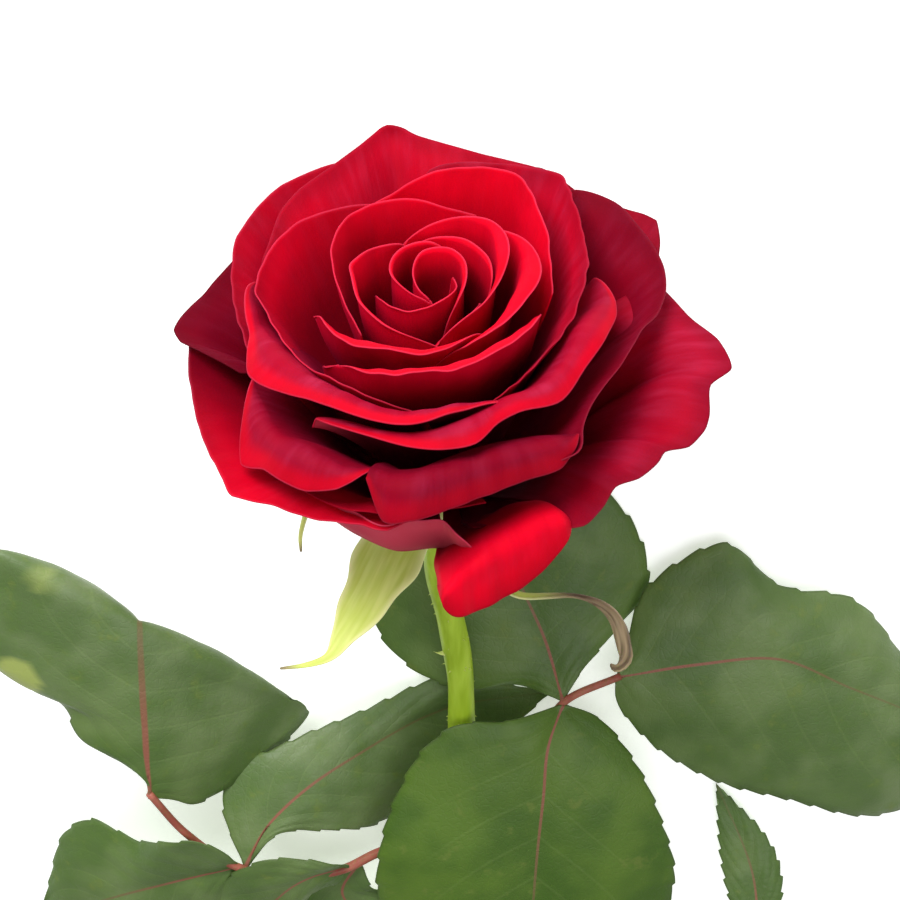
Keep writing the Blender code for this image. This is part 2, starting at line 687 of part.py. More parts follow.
def make_calyx(collection):
    """The hip under the petals and its five sepals, as one body."""
    pieces = [turned("hip", HIP_PROFILE, 16, collection)]
    for number, sepal in enumerate(SEPALS):
        grid = above_table(sepal_surface(sepal, 9, 5), SEPAL_THICKNESS / 2)
        pieces.append(sheet_object(f"sepal_{number}", grid, SEPAL_THICKNESS, collection))
    return fuse("calyx", pieces, collection)


def stem_frame(route, share):
    """The centre line's place and direction at a share of its length, and its radius there."""
    line = smooth_line(route, 201)
    index = int(round(share * 200))
    along = np.gradient(line, axis=0)[index]
    radius = STEM_TOP_RADIUS + (STEM_END_RADIUS - STEM_TOP_RADIUS) * share
    return line[index], along / np.linalg.norm(along), radius


def prickle(name, place, along, outward, collection):
    """A flattened cone on the stem, with its tip hooked towards the cut end."""
    work = bmesh.new()
    bmesh.ops.create_cone(work, cap_ends=True, segments=6, radius1=1.0, radius2=0.08, depth=1.0)
    side = np.cross(along, outward)
    for vert in work.verts:
        x, y, z = vert.co
        height = (z + 0.5) * PRICKLE_LENGTH
        hook = 0.35 * height * (z + 0.5)
        length, width = x * PRICKLE_BASE / 2 + hook, y * PRICKLE_BASE / 4
        vert.co = (place + outward * height + along * length + side * width) * MM
    bmesh.ops.recalc_face_normals(work, faces=work.faces)
    mesh = bpy.data.meshes.new(name)
    work.to_mesh(mesh)
    work.free()
    return new_object(name, mesh, collection)


def make_stem(collection):
    """The stem with its prickles, as one body."""
    line = smooth_line(STEM_ROUTE, 24)
    radii = np.linspace(STEM_TOP_RADIUS, STEM_END_RADIUS, 24)
    pieces = [tube_object("stem", line, radii, 12, collection)]
    length = np.linalg.norm(np.diff(line, axis=0), axis=1).sum()
    count = int((length - FIRST_PRICKLE) / PRICKLE_SPACING)
    for number in range(count):
        share = (FIRST_PRICKLE + number * PRICKLE_SPACING) / length
        place, along, radius = stem_frame(STEM_ROUTE, share)
        across = np.cross(along, [0, 0, 1.0])
        across /= np.linalg.norm(across)
        over = np.cross(across, along)
        turn = PRICKLE_FAN * math.sin(number * GOLDEN_ANGLE)
        outward = across * math.sin(turn) + over * math.cos(turn)
        root = place + outward * (radius - PRICKLE_SINK)
        pieces.append(prickle(f"prickle_{number}", root, along, outward, collection))
    return fuse("stem", pieces, collection)


def make_leaf(name, leaf, collection):
    """A stalk with its leaflets, as one body."""
    line = smooth_line(leaf.stalk, 10)
    pieces = [tube_object(name, line, np.linspace(STALK_RADIUS, 0.7 * STALK_RADIUS, 10), 8, collection)]
    for number, leaflet in enumerate(leaf.leaflets):
        grid = blade_surface(leaflet, LEAF_TEETH, LEAF_COLUMNS)
        grid = above_table(grid, LEAF_THICKNESS / 2)
        pieces.append(sheet_object(f"{name}_leaflet_{number}", grid, LEAF_THICKNESS, collection))
    return fuse(name, pieces, collection)


def paint(obj, name, colour, roughness):
    material = bpy.data.materials.get(name) or bpy.data.materials.new(name)
    material.use_nodes = True
    shader = material.node_tree.nodes["Principled BSDF"]
    shader.inputs["Base Color"].default_value = (*colour, 1)
    shader.inputs["Roughness"].default_value = roughness
    shader.inputs["Metallic"].default_value = 0.0
    obj.data.materials.clear()
    obj.data.materials.append(material)
    for face in obj.data.polygons:
        face.material_index = 0


def centre_on_table(objects):
    """Moves the meshes so that the origin is at the bottom centre of their common box."""
    corners = np.array([vert.co[:] for obj in objects for vert in obj.data.vertices])
    low, high = corners.min(axis=0), corners.max(axis=0)
    shift = np.array([-(low[0] + high[0]) / 2, -(low[1] + high[1]) / 2, -low[2]])
    for obj in objects:
        for vert in obj.data.vertices:
            vert.co = [value + move for value, move in zip(vert.co, shift)]


def make_rose():
    clear_scene()
    rose = bpy.data.collections.new("rose")
    bpy.context.scene.collection.children.link(rose)
    bloom = make_bloom(rose)
    paint(bloom, "petal_red", PETAL_RED, 0.6)
    calyx = make_calyx(rose)
    paint(calyx, "calyx_green", CALYX_GREEN, 0.6)
    stem = make_stem(rose)
    paint(stem, "stem_green", STEM_GREEN, 0.5)
    leaves = [make_leaf(name, leaf, rose) for name, leaf in LEAVES.items()]
    for leaf in leaves:
        paint(leaf, "leaf_green", LEAF_GREEN, 0.5)
    centre_on_table([bloom, calyx, stem, *leaves])


make_rose()
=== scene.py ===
"""The looks of a cut red rose that lies on a pale table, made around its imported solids.

Every shape is worked out in millimetres from a point on the table under the receptacle, with +Z up and
the stem along -Y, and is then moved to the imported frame, whose origin is the bottom centre of the rose's
box."""

import math
from collections import namedtuple
from functools import partial

import bmesh
import bpy
import numpy as np
from mathutils import Matrix


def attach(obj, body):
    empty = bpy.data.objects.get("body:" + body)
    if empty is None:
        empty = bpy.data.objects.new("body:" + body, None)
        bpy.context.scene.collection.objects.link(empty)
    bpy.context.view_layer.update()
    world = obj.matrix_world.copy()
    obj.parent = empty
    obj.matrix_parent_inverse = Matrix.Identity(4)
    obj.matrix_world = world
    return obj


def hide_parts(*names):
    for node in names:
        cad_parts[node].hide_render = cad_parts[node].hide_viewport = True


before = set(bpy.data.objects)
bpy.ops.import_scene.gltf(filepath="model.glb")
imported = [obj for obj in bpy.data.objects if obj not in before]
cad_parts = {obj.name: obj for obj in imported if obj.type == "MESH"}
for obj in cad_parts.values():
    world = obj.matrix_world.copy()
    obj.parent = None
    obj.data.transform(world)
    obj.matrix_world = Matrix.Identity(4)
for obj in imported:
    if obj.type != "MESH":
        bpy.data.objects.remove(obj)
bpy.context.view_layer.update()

MM = 0.001

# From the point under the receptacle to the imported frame's origin.
BOX_SHIFT = np.array([-1.51, 137.05, 0.0])

# The bloom's axis climbs from the receptacle at this angle to the table.
BLOOM_TILT = math.radians(20)
RECEPTACLE_HEIGHT = 30.0

# Turned shapes, as (radius, height over the receptacle): the core inside the heart, and the hip.
CORE_PROFILE = [(7, 0.15), (11, 8), (13.5, 18), (12.5, 30), (8, 37), (3, 40)]
HIP_PROFILE = [(2.85, -13), (4.2, -11), (6, -7), (6.5, -3.5), (6, -0.15)]

# Petals. A root lies this far out, plus a share of the rim's mean distance out, and this high. The curve
# from root to rim has an arm at each end that is a share of its chord. A lip's arc has at most this
# radius. Tuck is how far a middle petal's sides run on behind its neighbours. Slow and quick waves run
# along the rim, and slanting ones over the face. A petal has columns of points side by side, and rows to
# its rim and on its lip.
PETAL_THICKNESS = 0.5
ROOT_OUT = 1.5
ROOT_OUT_SHARE = 0.14
ROOT_HEIGHT = 0.8
ROOT_ARM = 0.42
RIM_ARM = 0.35
LIP_RADIUS = 2.6
TUCK = 4.0
SLOW_WAVE = 24
QUICK_WAVE = 7
SLANTING_WAVE = 16
PETAL_COLUMNS = 96
HEART_COLUMNS = 80
PETAL_ROWS = 36
LIP_ROWS = 14

# Sepals, each with low ridges along its middle and its edges.
SEPAL_THICKNESS = 0.8
SEPAL_RIDGE = 0.35

# Leaves. A blade is thickest at its midrib, and its middle stays this high over the table. Then come a
# tooth's pitch and height, the veins on each side of a midrib, how far a vein climbs on its way to the
# edge as shares of the blade's length, the swell between veins, and how deep and wide a midrib's fold is.
BLADE_THICKNESS = 0.36
RIB_THICKNESS = 0.8
LEAF_CLEARANCE = 0.35
STALK_RADIUS = 1.1
TOOTH_PITCH = 4.2
TOOTH_HEIGHT = 0.7
SIDE_VEINS = 8
VEIN_CLIMB = 0.26
VEIN_BEND = 0.10
SWELL = 0.22
FOLD = 0.5
FOLD_WIDTH = 1.6

# Patches where a leaf has yellowed: a place on it, how far the patch reaches, and how yellow it is.
YELLOWED = [((-85.5, -49.5, 22.5), 6, 0.9), ((-79, -26, 25), 3.5, 0.4)]

# Stem: its centre line from under the hip to the cut end, and its radius at both.
STEM_TOP_RADIUS = 2.75
STEM_END_RADIUS = 3.4
STEM_ROUTE = [
    (0, -12.5, 25.45), (0, -26, 20.5), (2.5, -40, 16.8), (4.4, -54, 14.2), (4.8, -68, 12.2),
    (5, -105, 8.6), (3, -160, 5.2), (0, -235, 3.7), (-3, -335, 3.5),
]

# Prickles grow on the lower stem, and the golden angle spreads them in a fan to both sides of its top.
# The first share of the stem's length is its neck, where the bristles grow, and a side bud sits in it.
PRICKLE_LENGTH = 5.6
PRICKLE_WIDTH = 2.6
PRICKLE_SPACING = 23.0
FIRST_PRICKLE = 140.0
PRICKLE_FAN = math.radians(75)
GOLDEN_ANGLE = math.radians(137.5)
BRISTLES = 70
NECK_SHARE = 0.30
BUD_SHARE = 0.115

# The camera looks at this point over the table from this far, in mm. It looks down at this many degrees,
# through a lens of this focal length.
CAMERA_TARGET = (2.364, 21.25, 60.85)
CAMERA_DISTANCE = 545.45
CAMERA_CLIMB = 63
CAMERA_LENS = 120

# A petal's rim goes from one side of the petal to the other. Each point is (degrees round the axis, mm
# out from it, mm up from the receptacle), and a fourth number is the mm of lip rolled outwards past it.
# Degrees count from +X towards the table side. Rise is the petal's slope at its root, and lean is how far
# it tips outwards at its rim, from 0 for upright to 90 for level. Roll is how far the lip turns over.
# Corner runs from 0 for a round rim to 1 for one that is straight between its points. Velvet is how deep
# and dull its red is, from 0 for bright, and it also lays a painted mauve sheen on the inner face and a
# painted pink of light bounced up from the table on the outer face. dark_rim is how dark its rim line is,
# from 0 for pink, a painted highlight of light scattered through the thin edge, to 1 for nearly black.
# Tone is how bright its red is painted at its first side and at its last, from 0 for dark: partly pigment
# that differs from petal to petal, partly painted shade where neighbouring petals shadow it.
Petal = namedtuple("Petal", "rise lean roll corner velvet dark_rim tone rim")

HEART_PETALS = [
    Petal(86, 0, 60, 0, 0.1, 0.05, (1, 1), [
        (262, 3.5, 44, 0), (243, 3, 50, 0), (209, 3.5, 51, 0.4), (169, 4.2, 52, 0.6), (114, 6.2, 53, 1),
        (71, 6.6, 53, 1.2), (45, 5.6, 53, 1.4), (6, 4.6, 53, 1.4), (-24, 4.9, 52, 1.2),
        (-45, 5.2, 50, 0.8), (-64, 5.4, 47, 0.3), (-80, 5.2, 42, 0),
    ]),
    Petal(86, 0, 60, 0, 0.1, 0.05, (1, 1), [
        (50, 3.5, 46, 0), (34, 3.6, 51, 0), (-10, 3.6, 51, 0.4), (-60, 3.7, 51, 0.7), (-90, 4.7, 51, 1),
        (-109, 6.6, 51, 1), (-125, 8.5, 51, 1), (-140, 9.8, 51, 0.8), (-161, 10.5, 50, 0.5),
        (-182, 11.2, 48, 0), (-196, 10.8, 43, 0),
    ]),
    Petal(84, 0, 60, 0, 0.1, 0.05, (1, 1), [
        (262, 2.6, 45, 0), (243, 3.6, 50, 0), (213, 5, 51, 0.6), (186, 7.4, 53, 1), (169, 8.2, 53, 1),
        (148, 8.8, 53, 1), (131, 9.2, 53, 0.8), (98, 8.8, 53, 0.6), (73, 8.8, 51, 0), (56, 8.4, 46, 0),
    ]),
    Petal(84, 0, 60, 0, 0.1, 0.05, (1, 1), [
        (14, 8, 44, 0), (-10, 7.8, 47.5, 0), (-35, 7.4, 47.5, 0.6), (-57, 7.2, 46.5, 0.8),
        (-74, 7.2, 45, 0.6), (-92, 6.6, 41, 0),
    ]),
    Petal(80, 5, 60, 0.2, 0.15, 0.05, (1, 1), [
        (290, 11.8, 43, 0), (273, 12.2, 47, 0), (256, 12.8, 49, 0.4), (242, 14, 51, 0.8),
        (230, 14.5, 52, 1), (208, 15.3, 54, 1), (189, 15, 55, 1), (178, 15.4, 55, 0.8),
        (168, 14.3, 55, 0.6), (153, 13.4, 54, 0.4), (127, 10.8, 53, 0.2), (113, 10.6, 50, 0),
        (100, 10.4, 45, 0),
    ]),
    Petal(82, 0, 60, 0, 0.1, 0.05, (1, 1), [
        (125, 11, 47, 0), (107, 10.8, 52, 0), (91, 10.2, 53, 0.4), (76, 10.1, 53, 0.8),
        (55, 9.2, 54, 1), (37, 9.2, 54, 1), (16, 9.4, 54, 1), (-1, 9.8, 53, 0.6), (-12, 9.4, 49, 0),
        (-22, 8.8, 44, 0),
    ]),
    Petal(80, 5, 70, 0, 0.1, 0.05, (1, 1), [
        (136, 11.4, 46, 0), (123, 11.6, 52, 0), (101, 12.2, 54, 0.3), (83, 12.8, 55, 0.6),
        (65, 14.2, 55, 1), (52, 14.4, 55, 1.6), (39, 13.4, 55, 2.4), (24, 12, 55, 3), (7, 11, 55, 2.8),
        (-9, 10.4, 53, 2), (-28, 9.9, 52, 1.2), (-52, 9.8, 51, 0.8), (-72, 10.4, 50, 0.5),
        (-87, 10.4, 47, 0), (-101, 10.2, 42, 0),
    ]),
    Petal(76, 10, 70, 0, 0.15, 0.1, (1, 1), [
        (72, 17, 46, 0), (56, 17, 52, 0), (39, 17, 53, 1), (21, 16.2, 54, 2.5), (6, 15.5, 54, 4),
        (-13, 15.2, 54, 4.6), (-26, 14.7, 53, 4), (-47, 15.2, 52, 3), (-69, 16.3, 51, 2),
        (-87, 17.6, 49, 0.8), (-102, 18.4, 43, 0),
    ]),
    Petal(76, 10, 70, 0, 0.25, 0.1, (1, 1), [
        (184, 22, 44, 0), (199, 22.7, 50, 0.3), (210, 22, 51, 1.8), (224, 21, 52, 3),
        (234, 20.4, 52.5, 3.6), (247, 20.2, 53, 2.4), (259, 19.4, 53, 3), (272, 18.2, 53, 2.8),
        (285, 15.9, 52, 2), (298, 14.9, 51, 0.8), (315, 14, 47, 0), (330, 13.5, 42, 0),
    ]),
    Petal(74, 10, 70, 0, 0.25, 0.1, (1, 1), [
        (214, 25, 44, 0), (230, 25.4, 50, 0.3), (239, 26, 52, 2), (253, 25, 53, 3),
        (269, 23.4, 53, 2.6), (277, 22.8, 53, 3.4), (288, 21.6, 53, 3), (301, 20.3, 53, 3.2),
        (316, 19.6, 52.5, 2.8), (332, 19.4, 51, 2), (345, 19.4, 48, 0.6), (358, 19, 43, 0),
    ]),
    Petal(76, 10, 0, 0, 0.1, 0.1, (1, 1), [
        (69, 20, 51), (107, 21, 54), (133, 22, 55), (174, 19, 55), (220, 18, 50),
    ]),
    Petal(70, 15, 0, 0.2, 0.05, 0.15, (1, 1), [
        (119, 25, 51), (90, 28, 54), (61, 30, 55), (31, 23, 55), (-5, 21, 51),
    ]),
]

MIDDLE_PETALS = [
    Petal(62, 30, 0, 0.3, 0.6, 0.7, (0.9, 0.9), [
        (89, 35, 49), (66, 36, 51), (53, 39, 50), (34, 32, 50), (-2, 27, 51), (-40, 25, 49),
        (-70, 27, 46),
    ]),
    Petal(66, 25, 0, 0.1, 0.25, 0.2, (0.8, 0.8), [
        (118, 26, 50), (147, 30, 52), (183, 33, 51), (212, 30, 50), (242, 28, 48), (259, 26, 45),
    ]),
    Petal(60, 40, 80, 0.2, 0.95, 0.35, (0.8, 0.9), [
        (177, 34, 48, 1), (196, 32, 49, 4), (211, 32, 50, 8), (232, 31, 50, 5), (262, 31, 50, 4),
        (289, 29, 49, 1),
    ]),
    Petal(58, 45, 80, 0.2, 0.85, 0.4, (0.95, 0.75), [
        (236, 34.5, 46, 1.5), (250, 33.5, 46.5, 2.5), (262, 33, 47, 4), (272, 32.5, 47.5, 5),
        (281, 31.5, 48, 5.5), (288, 30, 48, 4), (297, 28.5, 48.5, 4.5), (311, 28.5, 48.5, 6),
        (326, 28, 48.5, 4.5), (341, 28, 48.5, 4.5), (353, 29, 48, 4.5), (361, 30, 47, 3),
        (372, 30, 46, 1),
    ]),
    Petal(48, 45, 0, 0.2, 0.85, 0.85, (0.1, 0.6), [
        (52, 43, 44), (40, 44.5, 45), (30, 44, 45), (17, 44.5, 43), (10, 43, 42), (-9, 37, 43.5),
        (-23, 35.3, 44), (-34, 35.2, 43), (-46, 37.5, 42), (-53, 41, 41.5), (-59, 39.5, 40),
        (-72, 33, 39),
    ]),
    Petal(50, 50, 0, 0.5, 0.45, 0.8, (0.95, 0.95), [
        (152, 36, 45), (139, 39, 46), (130, 41, 46), (117, 43.5, 46), (104, 49, 46.5), (101, 50.8, 47),
        (95, 46.7, 46.5), (87, 44.3, 46), (78, 42.5, 46), (69, 42, 46), (60, 43, 45),
    ]),
    Petal(50, 50, 0, 0.3, 0.4, 0.5, (0.7, 0.6), [
        (112, 45, 44), (130, 46, 44), (152, 43, 44), (177, 37, 42), (198, 35, 41),
    ]),
]

OUTER_PETALS = [
    Petal(42, 50, 90, 0.5, 0.95, 0.25, (0.7, 0.6), [
        (202, 36, 41, 0), (212, 37, 41, 4), (220, 38, 41, 11), (227, 39, 41, 8), (239, 38.5, 41, 8),
        (246, 38, 41, 6), (253, 37, 40, 1),
    ]),
    Petal(40, 55, 90, 0.3, 1, 0.7, (0.4, 0.35), [
        (252, 37.5, 41, 3), (258, 39.5, 42, 9), (265, 39.5, 43, 9), (272, 37, 43, 9),
        (292, 34.5, 43, 8), (303, 35.5, 42.5, 7), (311, 37.5, 41, 1),
    ]),
    Petal(30, 75, 0, 0.6, 0.2, 0.45, (-0.4, 1.8), [
        (166, 44, 34), (176, 46.2, 34.5), (188, 46.3, 34.5), (205, 47.3, 33.2), (217, 49.2, 32.8),
        (224, 51, 33), (232, 46.6, 32.5), (240, 44.5, 32), (252, 42.5, 31), (258, 43, 30.5),
        (264, 40, 31),
    ]),
    Petal(30, 75, 0, 0.5, 0.9, 1, (0.1, 0.1), [
        (146, 44, 38), (164, 45, 38), (177, 49, 37), (181, 47.6, 37), (185, 44, 38), (189, 40.5, 38),
        (193, 37, 37),
    ]),
    Petal(30, 95, 0, 0.4, 0.8, 0.9, (0.8, 0.5), [
        (19, 44, 38), (8, 47.4, 37), (1, 52, 36), (-6, 54.5, 35), (-10, 51, 34.5), (-17, 52, 33),
        (-20, 52, 32), (-24, 50.3, 30), (-27, 46.5, 29), (-30, 46.5, 28.5), (-36, 45.2, 28),
        (-41, 42.8, 27.5), (-47, 43.7, 26.5), (-54, 44.7, 26), (-57, 43, 25),
    ]),
    Petal(15, 70, 85, 0.1, 0.15, 0.9, (1, 1), [
        (269.5, 45, 20, 0), (270, 49, 24.5, 1.5), (271, 51, 27, 4), (273, 49.5, 27.8, 8),
        (277, 46.5, 28, 10.5), (283, 43.5, 28.5, 11.5), (290, 41.5, 28.5, 11), (297, 40.3, 28.5, 9),
        (301.5, 40.5, 28, 6), (304, 40, 26, 2.5), (305, 38, 22, 0),
    ]),
    Petal(5, 20, 0, 0.2, 0.9, 0.3, (0.9, 0.9), [
        (225, 38, 30), (241, 40, 30.5), (256, 41.5, 31), (272, 39.5, 31), (280, 42, 26),
    ]),
    Petal(30, 60, 0, 0.1, 0.2, 1, (0.8, 0.8), [
        (212, 38, 33), (230, 41, 33.5), (246, 42, 33.5), (258, 41, 33), (270, 37, 31), (285, 34, 28),
    ]),
    Petal(20, 50, 0, 0.1, 0.6, 1, (0.1, 0.1), [
        (280, 36, 25), (300, 38, 24), (325, 38, 23), (348, 38, 23),
    ]),
    Petal(35, 70, 0, 0.4, 0.6, 1, (0.5, 0.5), [
        (76, 44, 42), (64, 46, 43), (50, 45, 41), (35, 51, 40), (22, 45, 40),
    ]),
    Petal(20, 40, 0, 0.1, 0.6, 0.7, (0.5, 0.5), [(54, 43, 38), (90, 44, 40), (126, 43, 38)]),
    Petal(8, 20, 0, 0.1, 0.6, 0.7, (0.5, 0.5), [(44, 46, 33), (66, 49, 35), (92, 46.5, 33)]),
    Petal(8, 20, 0, 0.1, 0.6, 0.7, (0.5, 0.5), [(88, 46.5, 33), (114, 49, 35), (136, 46, 33)]),
]

# A sepal's spine runs from the hip's rim to the tip, and each point is (degrees round the axis, mm out,
# mm up, mm wide). Roll turns its blade about the spine, and cup is how deep its sides curl down, from 0
# for flat to 1 for a half round. Past the share dry of its length, it has dried.
Sepal = namedtuple("Sepal", "roll cup dry spine")

SEPALS = [
    Sepal(0, 0.2, 0.9, [
        (236, 3, -2, 9), (238, 13, -3, 13), (241, 21, -4.5, 13), (242, 28, -6, 10.5),
        (242, 34, -7.5, 7.5), (241.5, 38, -9, 4.6), (241.5, 42, -10, 2.2), (238, 46, -10, 1.1),
        (233, 49, -11, 0.4),
    ]),
    Sepal(30, 0.8, 0.42, [
        (300, 3, -2, 6), (298, 18, -3, 3.5), (300, 31, -4, 2.6), (309, 33, -5.5, 2.2),
        (318, 36, -7.5, 1.7), (322, 41, -9, 4), (322, 44.5, -11, 5), (320, 47, -14, 4.6),
        (318.5, 48.4, -17, 3.6), (316, 46.8, -19.5, 2), (317.5, 45.2, -20.5, 0.6),
    ]),
    Sepal(0, 0.35, 0.9, [(18, 3, -2, 6), (20, 16, -4, 8), (22, 26, -9, 4), (22, 32, -12, 0.5)]),
    Sepal(0, 0.35, 0.9, [(92, 3, -2, 6), (92, 13, -4, 8), (93, 20, -9, 4), (94, 25, -14, 0.5)]),
    Sepal(0, 0.35, 0.9, [(163, 3, -2, 6), (165, 18, -3, 8), (169, 27, -7, 4), (172, 34, -10, 0.5)]),
    Sepal(0, 0.35, 0.9, [
        (166, 18, -3, 1.6), (184, 22.5, -2, 1.3), (196, 26, -1.5, 1), (201, 27.8, -3, 0.8),
        (204, 29, -5, 0.6), (207, 29.6, -7, 0.3),
    ]),
]


# Lines and vectors


def unit(vectors):
    """The vectors at length 1."""
    return vectors / np.maximum(np.linalg.norm(vectors, axis=-1, keepdims=True), 1e-12)


def distances(points):
    """How far each point lies from the first along its line, as the running sum of the steps."""
    steps = np.linalg.norm(np.diff(points, axis=0), axis=-1)
    return np.concatenate([np.zeros_like(steps[:1]), np.cumsum(steps, axis=0)])


def smooth_line(points, count, corner=0.0):
    """Evenly spaced samples of a line through the points: a cubic in each span that takes its slopes from
    the neighbouring points, mixed by corner with the straight line."""
    points = np.asarray(points, float)
    knots = distances(points[:, :3])
    at = np.linspace(0.0, knots[-1], count)
    straight = np.column_stack([np.interp(at, knots, column) for column in points.T])
    slopes = np.gradient(points, knots, axis=0)
    left = np.clip(np.searchsorted(knots, at, "right") - 1, 0, len(knots) - 2)
    span = (knots[left + 1] - knots[left])[:, None]
    t = (at - knots[left])[:, None] / span
    rise = t * t * (3 - 2 * t)
    smooth = points[left] * (1 - rise) + points[left + 1] * rise
    smooth += span * (slopes[left] * t * (1 - t) ** 2 - slopes[left + 1] * t * t * (1 - t))
    return corner * straight + (1 - corner) * smooth


def softened(line, passes):
    """The line with rounder corners: each pass moves a point halfway to its neighbours' middle."""
    line = line.copy()
    for _ in range(passes):
        line[1:-1] = 0.5 * line[1:-1] + 0.25 * (line[:-2] + line[2:])
    return line


def from_polar(points):
    """(degrees, out, up, ...) rows as (x, y, up, ...) rows, by the cosine and the sine of the angle."""
    points = np.asarray(points, float)
    turn = np.radians(points[:, 0])
    flat = np.column_stack([points[:, 1] * np.cos(turn), points[:, 1] * np.sin(turn)])
    return np.hstack([flat, points[:, 2:]])


def bloom_to_world(points):
    """Points in the bloom's own frame, with z along its axis, as points over the table: a turn by the
    tilt about X and a lift to the receptacle."""
    x, y, z = np.moveaxis(np.asarray(points, float), -1, 0)
    sine, cosine = math.sin(BLOOM_TILT), math.cos(BLOOM_TILT)
    return np.stack([x, y * sine + z * cosine, RECEPTACLE_HEIGHT - y * cosine + z * sine], axis=-1)


def waves(places, length, seed, count=4):
    """Smooth uneven waves, mostly between -1 and 1: a sum of sines over the root of their number. Their
    lengths, around the given one, and their phases are drawn from the seed."""
    draw = np.random.default_rng(seed)
    total = np.zeros(np.shape(places))
    for _ in range(count):
        size = length * draw.uniform(0.6, 1.7)
        total += np.sin(2 * math.pi * places / size + draw.uniform(0, 2 * math.pi))
    return total / count**0.5


def ramp(value, low, high):
    """0 below low, 1 above high, and a smooth step between them."""
    t = np.clip((value - low) / (high - low), 0, 1)
    return t * t * (3 - 2 * t)


def above_table(points, clearance):
    """The points, with any that would sink into the table laid flat on it."""
    points = np.array(points)
    points[..., 2] = np.maximum(points[..., 2], clearance)
    return points


# The leaves' outlines

# A leaflet is lofted between three lines from its stalk to its tip: its left edge, its midrib and its
# right edge, left and right as seen from above with the tip ahead. The edges start and end on the
# midrib's ends. Greys is how grey it is at its base and at its tip, from 0 for fresh green to 1 for
# grey-green, partly the leaf's own grey-green and partly a painted sheen, and rib_half is half its
# midrib's width in mm.
Leaflet = namedtuple("Leaflet", "left rib right greys rib_half", defaults=[(0.5, 0.5), 0.4])
Leaf = namedtuple("Leaf", "stalk leaflets")


def plain_leaflet(rib, width):
    """A leaflet with an even outline, at most this wide from its midrib to each edge. Its half width
    follows a sine along the midrib, fullest a little before the middle, and its edges droop a little."""
    line = smooth_line(rib, 7)
    across = unit(np.cross(np.gradient(line, axis=0), [0, 0, 1.0]))
    half = width * np.sin(math.pi * np.linspace(0, 1, 7) ** 0.85)[:, None]
    droop = np.array([0, 0, -0.12]) * half
    return Leaflet((line - across * half + droop)[1:-1], rib, (line + across * half + droop)[1:-1])


